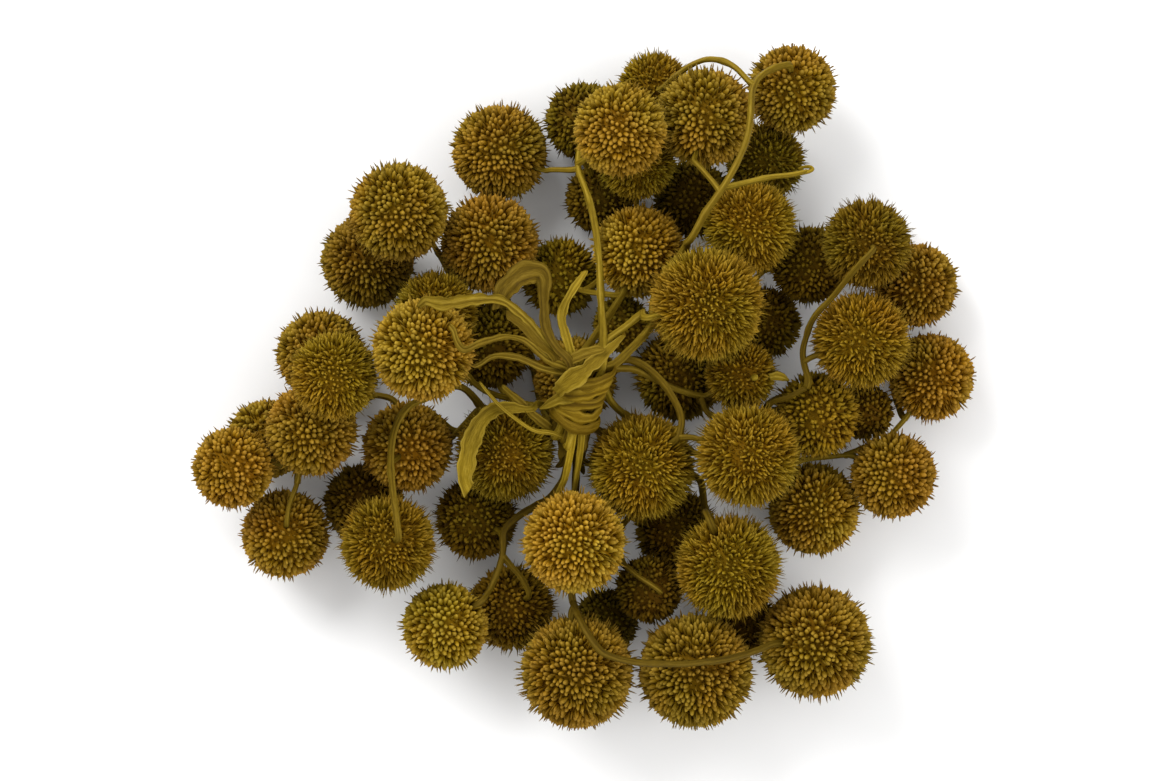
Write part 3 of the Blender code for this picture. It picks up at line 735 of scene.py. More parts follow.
def waves(at: np.ndarray, seed: int, scale: float) -> np.ndarray:
    """A smooth uneven line: 1.6 times the mean of five sine waves of random length and phase.

    Args:
        at: Where it is read.
        seed: Sets the lengths and phases.
        scale: How long the waves are.

    Returns:
        Its value at each place, mostly from -1 to 1.
    """
    rng = np.random.default_rng(seed)
    length, phase = rng.uniform(0.5, 3.0, 5) / scale, rng.uniform(0, math.tau, 5)
    return np.sin(at[..., None] * length + phase).mean(axis=-1) * 1.6


def sphere_points(count: int) -> np.ndarray:
    """Points spread evenly over a ball of radius 1.

    Their heights fall evenly from 1 to -1, and each is turned from the last by the golden angle.

    Args:
        count: How many.

    Returns:
        The points, count by 3.
    """
    k = np.arange(count) + 0.5
    z = 1 - 2 * k / count
    turn = k * math.pi * (3 - math.sqrt(5))
    flat = np.sqrt(1 - z**2)
    return np.stack([flat * np.cos(turn), flat * np.sin(turn), z], axis=1)


@dataclass(frozen=True)
class TuftShape:
    """The outline of one seed tuft: a point inside the core, rings, and a point at its tip."""

    sides: int
    heights: tuple[float, ...]  # of foot point, rings and tip, in shares of its length
    widths: tuple[float, ...]  # of the rings, in shares of its half width
    half_width: float  # in mm
    spacing: float  # between neighbouring tufts, in mm
    foot: float  # where it leaves the core, in shares of the ball's radius
    bend: float  # how far its tip leans, in shares of its length
    shortest: float  # square of the shortest share of the reach
    fine: float  # share of tufts that are thin, long and dark
    room: float = 0.87  # what a tuft takes up, in squares of the spacing
    scatter: float = 0.13  # how far a tuft is off its even place, in spacings
    least: float = 1.0  # shortest length in mm
    width_range: tuple[float, float] = (0.82, 1.12)  # of single tufts, in half widths
    tints: tuple[float, float] = (0.36, 1.0)  # range from dark to light
    fine_tints: tuple[float, float] = (0.0, 0.2)  # and that of the thin ones
    fine_length: float = 1.5  # times as long as the rest
    fine_width: float = 0.36  # times as wide as the rest


TUFTS = {
    Coat.GRAINS: TuftShape(5, (-0.45, 0.32, 0.80, 1.0), (1.0, 0.62), 0.88, 1.86, 0.81, 0.10, 0.90, 0.26),
    Coat.HAIRS: TuftShape(4, (-0.45, 0.30, 0.78, 1.0), (1.0, 0.52), 0.60, 1.54, 0.78, 0.17, 0.86, 0.30),
    Coat.SHADED: TuftShape(4, (-0.45, 0.50, 1.0), (1.0,), 0.80, 1.92, 0.78, 0.16, 0.84, 0.25),
}


@dataclass
class SeedBall:
    """One seed ball: a round core, covered with tufts that stand out of it."""

    number: int
    middle: np.ndarray
    radius: float
    entry: np.ndarray
    coat: Coat
    reach: float = 1.045  # of its tips, in shares of its radius
    longest: float = 1.05  # what has to fit in the box, in shares of its radius
    most_shift: float = 0.8  # how far it is moved to fit
    first_seed: int = 4000  # of its tufts, to which its number is added
    bare: float = 1.7  # radius of the spot without tufts where its stalk enters
    sweep: Point = (2.0, 1.3, -1.7)  # how fast the common lean of the tufts changes, along x, y and z
    rows: int = 15  # of the core
    columns: int = 22  # of the core
    pole: float = 0.02  # radians between a pole of the core and its nearest row
    raised: float = 0.012  # of the core over the tufts' feet, in shares of the radius
    uneven: float = 0.01  # of the core, in shares of the radius

    def fit(self, low: np.ndarray, high: np.ndarray) -> None:
        """Moves the ball in, then makes it smaller, where its tufts would pass the box's sides or top.

        Args:
            low: Lowest corner of the box, in metres.
            high: Highest corner.
        """
        past = np.stack([low / MM - self.middle, self.middle - high / MM]) + self.longest * self.radius
        past[0, 2] = 0.0
        moved = np.clip(past, 0, self.most_shift)
        self.middle = self.middle + moved[0] - moved[1]
        self.radius -= (past - moved).clip(0).max() / self.longest

    def directions(self, shape: TuftShape, rng: np.random.Generator) -> np.ndarray:
        """Where the tufts stand: even places on a ball, each off by a random shift.

        Args:
            shape: The shape of the tufts.
            rng: Draws the shifts.

        Returns:
            The outward way of each tuft.
        """
        count = round(4 * math.pi * self.radius**2 / (shape.room * shape.spacing**2))
        shift = rng.normal(0, shape.scatter * shape.spacing / self.radius, (count, 3))
        out = unit(sphere_points(count) + shift)
        return out[np.arccos(np.clip(out @ self.entry, -1, 1)) * self.radius > self.bare]

    def tufts(self, surface: Surface) -> None:
        """Adds the tufts.

        Point (level l, turn t) of a tuft with foot f, outward way n and length h is
        f + n h l + lean h l squared + half width w(l) (a cos t + b sin t), with a and b across n.

        Args:
            surface: What they are added to.
        """
        shape = TUFTS[self.coat]
        rng = np.random.default_rng(self.first_seed + self.number)
        out = self.directions(shape, rng)
        count = len(out)
        length = self.radius * (self.reach * rng.uniform(shape.shortest, 1.0, count) ** 0.5 - shape.foot)
        thin = rng.random(count) < shape.fine
        length = np.maximum(length, shape.least) * np.where(thin, shape.fine_length, 1.0)
        a = unit(np.cross(out, rng.normal(0, 1, (count, 3))))
        b = np.cross(out, a)
        # Neighbours share a part of their lean.
        common = waves(out @ np.array(self.sweep) + self.number, self.number, 1.0)
        aside = rng.normal(0, shape.bend, count)
        ahead = rng.normal(0, shape.bend, count) + 0.5 * shape.bend * common
        lean = a * aside[:, None] + b * ahead[:, None]
        level, wide = np.array(shape.heights), np.array(shape.widths) * shape.half_width
        spread = rng.uniform(*shape.width_range, count) * np.where(thin, shape.fine_width, 1.0)
        wide = wide[None] * spread[:, None]
        spine = (self.middle + out * self.radius * shape.foot)[:, None]
        spine = spine + out[:, None] * (length[:, None] * level)[..., None]
        spine = spine + lean[:, None] * (length[:, None] * level**2)[..., None]
        turn = np.arange(shape.sides) * math.tau / shape.sides
        around = a[:, None] * np.cos(turn)[None, :, None] + b[:, None] * np.sin(turn)[None, :, None]
        rings = spine[:, 1:-1, None] + around[:, None] * wide[..., None, None]
        points = np.concatenate([rings.reshape(count, -1, 3), spine[:, [0, -1]]], axis=1)
        one = spindle_faces(len(wide[0]), shape.sides)
        size = points.shape[1]
        faces = one[None] + np.where(one < 0, 0, 1)[None] * (np.arange(count) * size)[:, None, None]
        height = np.concatenate([np.repeat(level[1:-1], shape.sides), level[[0, -1]]])
        tint = np.where(thin, rng.uniform(*shape.fine_tints, count), rng.uniform(*shape.tints, count))
        surface.add(points.reshape(-1, 3), faces.reshape(-1, 4), [],
                    height=np.tile(height, count), tint=np.repeat(tint, size))

    def core(self, surface: Surface) -> None:
        """Adds the core: a sphere in rows from pole to pole, made uneven by short waves along and across.

        Point (u, t) is middle + radius (foot + raised + uneven wave(9 u + 7 sin t)) times the way at
        angle u from the upper pole and t round it.

        Args:
            surface: What it is added to.
        """
        up = np.linspace(self.pole, math.pi - self.pole, self.rows)[:, None]
        turn = (np.arange(self.columns) * math.tau / self.columns)[None]
        ways = (np.sin(up) * np.cos(turn), np.sin(up) * np.sin(turn), np.cos(up))
        wave = waves(up * 9 + np.sin(turn) * 7, self.number, 1.0)
        far = self.radius * (TUFTS[self.coat].foot + self.raised + self.uneven * wave)
        points = (self.middle + np.stack(np.broadcast_arrays(*ways), -1) * far[..., None]).reshape(-1, 3)
        count = len(points)
        # Height 0 gives the core the tufts' dark foot colour, partly painted shade in the gaps between them.
        # The rows run down from the upper pole, so the faces are turned to look out.
        surface.add(points, ring_faces(self.rows, self.columns)[:, ::-1],
                    [cap[::-1] for cap in end_caps(count, self.columns)],
                    height=np.zeros(count), tint=np.full(count, 0.5))

    def build(self, low: np.ndarray, high: np.ndarray) -> bpy.types.Object:
        """Makes the ball's piece and lets it stand for its solid.

        Args:
            low: Lowest corner of the box that it stays in, in metres.
            high: Highest corner.

        Returns:
            The piece.
        """
        surface = Surface()
        self.fit(low, high)
        self.core(surface)
        self.tufts(surface)
        piece = surface.build(f"tufted_ball_{self.number:02d}", low, high,
                              shade=SHADE_OF.get(self.number, 1.0), warmth=WARMTH_OF.get(self.number, 0.0))
        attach(piece, "root")
        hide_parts(f"seed_ball_{self.number:02d}")
        return piece


# How much paler the main stalks of some sprigs are near the tie, partly their own paler colour and partly
# painted light that lifts the tie's shade, and how light all stalks of some sprigs are.
PALE_SPRIGS = {7: 0.3, 10: 0.5}
SPRIG_SHADES = {4: 0.7, 5: 0.6, 9: 0.7, 10: 0.65, 11: 0.6, 12: 0.5, 13: 0.65}


@dataclass(frozen=True)
class Twig:
    """A stalk too small for the solids.

    Its heights are counted from the upper side of a ball, or from the ground where the ball is 0.
    """

    points: tuple[Point, ...]
    thick: float  # radius at its start
    thin: float  # radius at its end
    light: float  # how light it is
    ball: int = 0


TWIGS = (
    # The curled tip of the bare stalk, and the knob at a ball's side.
    Twig(((800, 174, 44.3), (806, 173, 44.1), (811, 171.6, 44), (812.5, 169.6, 43.6), (810, 167.6, 43),
          (804, 167.4, 42.5), (798, 169.5, 42)), 0.72, 0.4, 1.2),
    Twig(((754, 378, -0.6), (754, 377.6, 0.6), (754, 377.2, 1.7)), 0.95, 1.05, 1.2, 51),
    # Two pale strips below the tie, partly their own pale colour and partly painted light against the tie's
    # shadow.
    Twig(((576, 414, 41), (574, 428, 41), (572, 444, 40), (569, 461, 38), (565, 479, 34), (559, 492, 29),
          (553, 502, 25)), 1.15, 0.85, 2.2),
    Twig(((583, 414, 41), (582, 428, 41), (581, 444, 40), (579, 461, 37.5), (576, 479, 33), (574, 492, 28)),
         1.15, 0.75, 1.4),
)


@dataclass
class StalkWork:
    """All round stalks: the gathered ones in the tie, and the branching ones that leave it."""

    layout: Layout
    sides: int = 12
    pitch: float = 1.1  # between the rings of a stalk
    twig_pitch: float = 0.5
    groove: float = 0.07  # depth of the five grooves, in shares of the radius
    fold: float = 0.05  # how far the section is out of round, in shares of the radius
    uneven: float = 0.05  # how far the radius wanders along a stalk, in shares of it
    inside: tuple[float, ...] = (-6.0, -2.0, 2.0)  # places along the tie that a main stalk passes
    sunk: float = 1.3  # how far a stalk goes on into its ball
    gathered: int = 9  # rings of a main stalk that are no thicker than the bundle leaves room for
    pale: float = 36.0  # how far from the tie a pale sprig stays pale
    ball_swell: float = 0.22  # how much thicker a stalk is at its ball
    fork_swell: float = 0.12  # and at its fork
    joint_swell: float = 0.20  # and at its joints
    first_joint: float = 17.0  # in rings from the start
    last_joint: float = 6.0  # in rings from the end
    joint_apart: float = 23.0  # rings between two joints

    def tube(self, surface: Surface, path: np.ndarray, radius: np.ndarray, seed: int,
             shade: np.ndarray) -> None:
        """Adds one stalk, with a shrivelled section whose shallow grooves wind slowly round it.

        Point (s, t) is path(s) + r(s) (1 + groove cos(5 t + twist) + fold cos(2 t - 0.7 twist))
        (1 + uneven wave(s)) (a cos t + b sin t), where the twist is a wave of s.

        Args:
            surface: What it is added to.
            path: Its points.
            radius: Its radius at each.
            seed: Sets its grooves.
            shade: How light it is at each.
        """
        side, up = frames(path)
        run = run_of(path)
        turn = np.arange(self.sides) * math.tau / self.sides
        twist = waves(run, seed, 14.0)[:, None] * 2.4 + seed
        grooves = 1 + self.groove * np.cos(5 * turn + twist) + self.fold * np.cos(2 * turn - twist * 0.7)
        far = radius[:, None] * grooves * (1 + self.uneven * waves(run, seed + 7, 3.0)[:, None])
        way = side[:, None] * np.cos(turn)[None, :, None] + up[:, None] * np.sin(turn)[None, :, None]
        points = (path[:, None] + way * far[..., None]).reshape(-1, 3)
        count, most = len(points), self.groove + self.fold
        fibre = np.broadcast_arrays(np.cos(turn)[None], np.sin(turn)[None], run[:, None] * 0.06 + seed * 3.7)
        surface.add(points, ring_faces(len(path), self.sides), end_caps(count, self.sides),
                    fibre=np.stack(fibre, axis=-1).reshape(-1, 3),
                    groove=((grooves - 1 + most) / (2 * most)).reshape(-1),
                    age=np.full(count, (seed * 0.37) % 1.0), shade=np.repeat(shade, self.sides))

    def thickness(self, run: StalkRun, count: int) -> np.ndarray:
        """Radius along a stalk: an even taper, times 1 and a bell curve at its ball, its fork and each joint.

        Args:
            run: The stalk.
            count: Its number of rings.

        Returns:
            The radius at each ring.
        """
        share = np.linspace(0, 1, count)
        at = share * count
        radius = run.thick + (run.thin - run.thick) * share
        if run.main:
            radius = np.where(at < self.gathered, np.minimum(radius, ROOT + 0.1), radius)
        swell = self.ball_swell * np.exp(-((at - count) / 3.0) ** 2) * run.enters
        swell = swell + self.fork_swell * (not run.main) * np.exp(-(at / 2.5) ** 2)
        for joint in np.arange(self.first_joint, count - self.last_joint, self.joint_apart):
            middle = joint + 5 * math.sin(joint + run.sprig)
            swell = swell + self.joint_swell * np.exp(-((at - middle) / 1.3) ** 2)
        return radius * (1 + swell)

    def stalk(self, surface: Surface, run: StalkRun, seed: int) -> None:
        """Adds one stalk of the layout, led on into the tie and into its ball.

        Args:
            surface: What it is added to.
            run: The stalk.
            seed: Sets its grooves.
        """
        path = run.path
        if run.main:
            spot = self.layout.spots[run.sprig]
            inside = [TIE_AT + TIE_ALONG * side_of(run.sprig) * t + spot for t in self.inside]
            path = np.concatenate([np.array(inside), path])
        if run.enters:
            away = path[-1] - path[-2]
            path = np.concatenate([path, [path[-1] + away / np.linalg.norm(away) * self.sunk]])
        path = eased(path, self.pitch, 2)
        far = np.linspace(0, 1, len(path)) * len(path) * self.pitch
        shade = 1 + PALE_SPRIGS.get(run.sprig, 0.0) * run.main * np.exp(-((far / self.pale) ** 4))
        shade = shade * SPRIG_SHADES.get(run.sprig, 1.0)
        self.tube(surface, path, self.thickness(run, len(path)), seed, shade)

    def twig(self, surface: Surface, twig: Twig, seed: int) -> None:
        """Adds one twig: its path smoothed, with an even taper.

        Args:
            surface: What it is added to.
            twig: The twig.
            seed: Sets its grooves.
        """
        path = np.array([place(*p) for p in twig.points])
        if twig.ball:
            path[:, 2] += self.layout.face_point(twig.ball, twig.points[0][:2])[2]
        path = eased(path, self.twig_pitch, 2)
        count = len(path)
        self.tube(surface, path, np.linspace(twig.thick, twig.thin, count), seed, np.full(count, twig.light))

    def build(self, low: np.ndarray, high: np.ndarray) -> bpy.types.Object:
        """Makes the piece that holds all round stalks.

        Args:
            low: Lowest corner of the box that it stays in, in metres.
            high: Highest corner.

        Returns:
            The piece.
        """
        surface = Surface()
        for seed, run in enumerate(self.layout.stalks):
            self.stalk(surface, run, seed)
        for seed, twig in enumerate(TWIGS):
            self.twig(surface, twig, 90 + seed)
        piece = surface.build("branching_stalks", low, high)
        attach(piece, "root")
        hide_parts("stalks")
        return piece


STRAP_SHADES = (1.25, 1.2, 0.6, 0.8, 0.6, 0.6, 0.6, 1.1, 0.6, 0.6, 0.7, 0.75, 1.2, 0.8)  # of the cut ends


@dataclass(frozen=True)
class Flap:
    """A loose flap, too thin for the solids.

    Its heights are counted from the middle of a ball, or from the ground where the ball is 0.
    """

    points: tuple[Point, ...]
    widths: tuple[float, ...]
    light: float  # how light it is
    ball: int = 0


FLAPS = (
    # The stub at a ball's side, the pointed flap left of the tie and the diagonal flap over it.
    Flap(((769, 377, 5.5), (776, 375.5, 5.0), (783, 377, 3.6), (789, 380, 1.8)),
         (2.2, 3.0, 2.4, 0.6), 1.35, 51),
    Flap(((574, 395, 48.6), (563, 397, 47.0), (551, 403, 44.5), (540, 409, 42.0)),
         (4.6, 4.4, 2.8, 0.6), 0.85),
    Flap(((557, 393, 50.0), (563, 386, 53.4), (575, 378, 55.6), (590, 366, 56.4), (602, 357, 56.0),
          (612, 347, 54.6), (623, 336, 52.0)), (3.6, 5.4, 5.6, 4.6, 3.4, 2.4, 1.4), 0.9),
)


@dataclass
class CutEnds:
    """The cut ends of the stalks, which dried into flat, curled straps."""

    layout: Layout
    around: int = 18
    pitch: float = 0.8  # between the rings of a cut end
    flap_pitch: float = 0.5
    flap_depth: float = 0.7  # thickness of a flap
    twist: float = 0.6  # most turn about its middle line, in radians
    twist_start: float = 14.0  # how far from its start it may be turned fully
    rib: float = 0.014  # height of the ribs, in shares of its width
    ripple: float = 0.05  # height of the ripples along its edges, in shares of its width
    slant: float = 0.35  # of the cut, in shares of its width
    slant_length: float = 1.5  # how much of its end the slant takes up
    sway: float = 0.16  # how far its width wanders, in shares of it
    nick: float = 0.10  # how far one edge alone does
    start: float = -4.0  # along the tie, where it starts
    leaves_north: float = 11.5  # along the tie, where a strap may bend that leaves it by the north end
    leaves_south: float = 7.5  # and by the south end
    left_pull: Point = (-5.0, -1.6, 0.6)  # how far the straps at the north end bend out to the left
    pull_at: float = 17.5  # how far from its start the strap bends out most
    pull_length: float = 6.0
    near_light: float = 0.6  # how light it is near the tie, in shares of the rest
    dark_until: float = 15.0  # how far from its start it stays so
    lighter_in: float = 12.0  # and over what length that ends

    def strap(self, surface: Surface, path: np.ndarray, wide: np.ndarray, thick: np.ndarray, seed: int,
              facing: np.ndarray, closed: bool = False, curl: float = 0.16,
              shade: float | np.ndarray = 1.0) -> None:
        """Adds one strap.

        With x = cos t across and y = sin t through it, point (s, t) is path(s) + across w x / 2
        + face (h y / 2 + curl w x squared + ribs(x)), so its edges bend up and its face is ribbed. Its last
        millimetres are moved along by a share of x, which leaves a slanting cut.

        Args:
            surface: What it is added to.
            path: Its middle line.
            wide: Its width at each point.
            thick: Its thickness at each point.
            seed: Sets its twist and creases.
            facing: The way that its face looks.
            closed: True for a band that closes on itself.
            curl: How much its edges bend up, as a share of its width.
            shade: How light it is, as a whole or at each point.
        """
        if closed:
            along = unit(np.roll(path, -1, axis=0) - np.roll(path, 1, axis=0))
        else:
            along = unit(np.gradient(path, axis=0))
        across = unit(np.cross(along, facing))
        face = np.cross(across, along)
        run = run_of(path)
        if not closed:
            tilt = self.twist * waves(run, seed, 6.0) * np.clip(run / self.twist_start, 0, 1)
            over, down = np.cos(tilt)[:, None], np.sin(tilt)[:, None]
            across, face = across * over + face * down, face * over - across * down
        turn = np.arange(self.around) * math.tau / self.around
        x, y = np.cos(turn)[None], np.sin(turn)[None]
        # From 0, where it is nearly round, to 1, where it is more than three times as wide as thick.
        flat = np.clip((wide / thick - 1.2) / 2.0, 0, 1)[:, None]
        bend = curl * (1 + 0.6 * waves(run, seed + 3, 5.0)[:, None]) * flat
        ribs = 0.6 * np.cos(7 * x + seed) + 0.4 * np.cos(13 * x - 2 * seed)
        ridge = (self.rib * ribs + self.ripple * waves(run, seed + 13, 1.7)[:, None] * x) * flat * np.sign(y)
        through = thick[:, None] * y / 2 + wide[:, None] * (bend * (x**2 - 0.4) + ridge)
        uneven = 1 + self.sway * waves(run, seed + 5, 2.6)[:, None] * flat
        uneven = uneven + self.nick * waves(run, seed + 9, 1.1)[:, None] * flat * x
        sideways = wide[:, None] * x / 2 * uneven
        points = path[:, None] + across[:, None] * sideways[..., None] + face[:, None] * through[..., None]
        if not closed:
            near_end = np.clip(1 - (run[-1] - run) / self.slant_length, 0, 1)[:, None]
            points = points + along[:, None] * (self.slant * near_end * x * wide[:, None])[..., None]
        rows, count = (len(path), self.around), points.shape[0] * points.shape[1]
        fibre = np.broadcast_arrays(x * 1.4, y * 0.3, run[:, None] * 0.05 + seed * 2.3)
        caps = [] if closed else [cap[::-1] for cap in end_caps(count, self.around)]
        surface.add(points.reshape(-1, 3), ring_faces(*rows, closed)[:, ::-1], caps,
                    fibre=np.stack(fibre, axis=-1).reshape(-1, 3),
                    groove=np.broadcast_to(0.5 + 0.5 * ribs, rows).reshape(-1),
                    age=np.full(count, (seed * 0.61) % 1.0),
                    shade=np.broadcast_to(np.reshape(shade, (-1, 1)), rows).reshape(-1))

    def cut_end(self, surface: Surface, tail: tuple, light: float, seed: int) -> None:
        """Adds one cut end: straight inside the tie, then along its path to a narrow tip.

        The straps at the north end are pulled to the left by a bell curve of their length.

        Args:
            surface: What it is added to.
            tail: Its row of the table.
            light: How light it is.
            seed: Sets its twist and creases.
        """
        number, points, widths = tail
        sign = -side_of(number)
        leaves = self.leaves_north if sign > 0 else self.leaves_south
        path, wide, thick = self.layout.cut_end(number, points, widths)
        first = int(np.argmax((path - TIE_AT) @ TIE_ALONG * sign > leaves))
        reach = np.linspace(self.start, leaves - 1, 6)
        inside = TIE_AT + TIE_ALONG * sign * reach[:, None] + self.layout.spots[number]
        path = np.concatenate([inside, path[first:]])
        wide, thick = (np.pad(size[first:], (len(reach), 0), mode="edge") for size in (wide, thick))
        fine = eased(path, self.pitch, 3)
        share, old = np.linspace(0, 1, len(fine)), np.linspace(0, 1, len(path))
        wide, thick = np.interp(share, old, wide), np.interp(share, old, thick)
        wide = wide * np.clip((1.02 - share) * len(fine) / 2.2, 0.35, 1)
        along = np.arange(len(fine)) * self.pitch
        clear = np.clip((along - self.dark_until) / self.lighter_in, 0, 1)
        shade = light * (self.near_light + (1 - self.near_light) * clear)
        if sign > 0:
            pull = np.exp(-(((along - self.pull_at) / self.pull_length) ** 2))
            fine = fine + np.array(self.left_pull) * pull[:, None]
        facing = np.tile([0.05, 0.1, 1.0], (len(fine), 1))
        self.strap(surface, fine, wide, thick, seed, facing, shade=shade)

    def flap(self, surface: Surface, flap: Flap, seed: int) -> None:
        """Adds one flap: its path smoothed, with its widths spread evenly along it.

        Args:
            surface: What it is added to.
            flap: The flap.
            seed: Sets its twist and creases.
        """
        path = np.array([place(*p) for p in flap.points])
        if flap.ball:
            path[:, 2] += self.layout.middles[flap.ball][2]
        fine = eased(path, self.flap_pitch, 2)
        count = len(fine)
        wide = np.interp(np.linspace(0, 1, count), np.linspace(0, 1, len(flap.widths)), flap.widths)
        facing = np.tile([0.0, 0.1, 1.0], (count, 1))
        self.strap(surface, fine, wide, np.full(count, self.flap_depth), seed, facing, shade=flap.light)

    def build(self, low: np.ndarray, high: np.ndarray) -> bpy.types.Object:
        """Makes the piece that holds all cut ends.

        Args:
            low: Lowest corner of the box that it stays in, in metres.
            high: Highest corner.

        Returns:
            The piece.
        """
        surface = Surface()
        for seed, (tail, light) in enumerate(zip(TAILS, STRAP_SHADES)):
            self.cut_end(surface, tail, light, 11 + seed)
        for seed, flap in enumerate(FLAPS):
            self.flap(surface, flap, 130 + seed)
        piece = surface.build("cut_stalk_ends", low, high)
        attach(piece, "root")
        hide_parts("stalks")
        return piece


@dataclass(frozen=True)
class TieTurn:
    """One turn of the tie."""

    lean: float  # how far its two sides lie ahead of and behind its middle
    shift: float  # where it lies along the bundle
    width: float
    over: float  # how far it lies off the bundle


@dataclass
class Tie:
    """The strap wound round the gathered stalks."""

    straps: CutEnds
    rings: int = 72
    curl: float = -0.06  # its edges bend towards the bundle
    turns: tuple[TieTurn, ...] = (
        TieTurn(-0.6, -4.6, 3.8, 1.0), TieTurn(0.5, -1.4, 4.6, 0.45), TieTurn(2.2, 2.6, 5.4, 0.35),
        TieTurn(3.2, 6.8, 5.2, 0.7), TieTurn(3.8, 9.8, 3.6, 1.1))

    def wind(self, surface: Surface, turn: TieTurn, seed: int) -> None:
        """Adds one turn: a circle round the bundle that leans along it by the cosine of the turn.

        Its place, its distance and its width wander by sines of two to five waves to a turn.

        Args:
            surface: What it is added to.
            turn: The turn.
            seed: Sets its creases.
        """
        side, up = tie_frame()
        angle = np.arange(self.rings) * math.tau / self.rings
        out = np.cos(angle)[:, None] * side + np.sin(angle)[:, None] * up
        along = turn.shift + turn.lean * np.cos(angle) + 0.25 * np.sin(3 * angle + seed)
        far = BUNDLE + GAP + BAND / 2 + turn.over + 0.15 * np.sin(4 * angle + 2 * seed)
        path = TIE_AT + out * far[:, None] + along[:, None] * TIE_ALONG
        wide = turn.width * (1 + 0.12 * np.sin(2 * angle + seed) + 0.08 * np.sin(5 * angle))
        thick = np.full(self.rings, BAND)
        self.straps.strap(surface, path, wide, thick, seed, out, closed=True, curl=self.curl)

    def build(self, low: np.ndarray, high: np.ndarray) -> bpy.types.Object:
        """Makes the tie's piece.

        Args:
            low: Lowest corner of the box that it stays in, in metres.
            high: Highest corner.

        Returns:
            The piece.
        """
        surface = Surface()
        for seed, turn in enumerate(self.turns):
            self.wind(surface, turn, 51 + seed)
        piece = surface.build("tie_strap", low, high)
        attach(piece, "root")
        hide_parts("tie")
        return piece


class Nodes:
    """A node tree in the making. A value that a node is given may be a number or another node's socket."""

    def __init__(self, tree: bpy.types.NodeTree) -> None:
        """Starts on a tree."""
        self.tree = tree

    def add(self, kind: str, inputs: dict | None = None, **settings: object) -> bpy.types.Node:
        """Adds a node.

        Args:
            kind: Its type, without the leading ShaderNode.
            inputs: What each input holds: a value, or the socket that it is linked from.
            **settings: Its own properties.

        Returns:
            The node.
        """
        node = self.tree.nodes.new("ShaderNode" + kind)
        for key, value in settings.items():
            setattr(node, key, value)
        for key, value in (inputs or {}).items():
            if isinstance(value, bpy.types.NodeSocket):
                self.tree.links.new(value, node.inputs[key])
            else:
                node.inputs[key].default_value = value
        return node

    def painted(self, name: str, output: str = "Fac") -> bpy.types.NodeSocket:
        """The value that is painted on the mesh by this name."""
        return self.add("Attribute", attribute_name=name).outputs[output]

    def noise(self, where: bpy.types.NodeSocket, scale: float, detail: float,
              roughness: float = 0.5) -> bpy.types.NodeSocket:
        """Soft blotches from 0 to 1, scale of them to a unit."""
        inputs = {"Vector": where, "Scale": scale, "Detail": detail, "Roughness": roughness}
        return self.add("TexNoise", inputs).outputs["Fac"]

    def sums(self, operation: str, *values: object) -> bpy.types.NodeSocket:
        """The result of one arithmetic operation on two or three values."""
        return self.add("Math", dict(enumerate(values)), operation=operation).outputs[0]

    def ramp(self, value: bpy.types.NodeSocket, start: float = 0.0, end: float = 1.0, low: float = 0.0,
             high: float = 1.0) -> bpy.types.NodeSocket:
        """The value carried over from start to end onto low to high, and held there."""
        return self.add("MapRange", {"Value": value, 1: start, 2: end, 3: low, 4: high}).outputs[0]

    def mix(self, share: bpy.types.NodeSocket, first: object, second: object) -> bpy.types.NodeSocket:
        """The colour between two, by the share of the second."""
        return self.add("Mix", {0: share, 6: first, 7: second}, data_type="RGBA").outputs[2]

    def lit(self, colour: bpy.types.NodeSocket, light: bpy.types.NodeSocket) -> bpy.types.NodeSocket:
        """The colour times a number."""
        return self.add("VectorMath", {0: colour, "Scale": light}, operation="SCALE").outputs[0]

    def hued(self, colour: bpy.types.NodeSocket, hue: bpy.types.NodeSocket) -> bpy.types.NodeSocket:
        """The colour times another one."""
        return self.add("VectorMath", {0: colour, 1: hue}, operation="MULTIPLY").outputs[0]

    def bump(self, height: bpy.types.NodeSocket, strength: float, distance: float) -> bpy.types.NodeSocket:
        """The normal of a surface with this fine relief."""
        return self.add("Bump", {"Strength": strength, "Distance": distance, "Height": height}).outputs[0]


# What a group puts out: its name, its kind and the socket of the shader that it feeds.
OUTPUTS = (("Colour", "Color", "Base Color"), ("Roughness", "Float", "Roughness"),
           ("Normal", "Vector", "Normal"))
GREY = (0.1, 0.1, 0.1, 1)


@dataclass(frozen=True)
class Finish:
    """A finish: three colours, which a shader node group spreads over the surface."""

    name: str
    colours: tuple[Rgb, Rgb, Rgb]
    group_name: ClassVar[str]
    sockets: ClassVar[tuple[str, str, str]]

    def draw(self, nodes: Nodes, colours: list) -> tuple:
        """Fills the node group.

        Args:
            nodes: The group's tree.
            colours: Its three inputs.

        Returns:
            The sockets of its colour, roughness and normal.
        """
        raise NotImplementedError

    def group(self) -> bpy.types.NodeTree:
        """Makes the node group when it is first asked for.

        Returns:
            The group.
        """
        tree = bpy.data.node_groups.get(self.group_name)
        if tree:
            return tree
        tree = bpy.data.node_groups.new(self.group_name, "ShaderNodeTree")
        for key in self.sockets:
            tree.interface.new_socket(key, in_out="INPUT", socket_type="NodeSocketColor").default_value = GREY
        for key, kind, _ in OUTPUTS:
            tree.interface.new_socket(key, in_out="OUTPUT", socket_type="NodeSocket" + kind)
        given, result = tree.nodes.new("NodeGroupInput"), tree.nodes.new("NodeGroupOutput")
        drawn = self.draw(Nodes(tree), [given.outputs[key] for key in self.sockets])
        for (key, _, _), socket in zip(OUTPUTS, drawn):
            tree.links.new(socket, result.inputs[key])
        return tree

    def material(self) -> bpy.types.Material:
        """Makes the material: a shader fed by the group, which holds this finish's colours.

        Returns:
            The material.
        """
        material, nodes, shader = blank_material(self.name)
        group = nodes.add("Group", node_tree=self.group())
        for key, colour in zip(self.sockets, self.colours):
            group.inputs[key].default_value = (*colour, 1)
        for key, _, target in OUTPUTS:
            nodes.tree.links.new(group.outputs[key], shader.inputs[target])
        return material


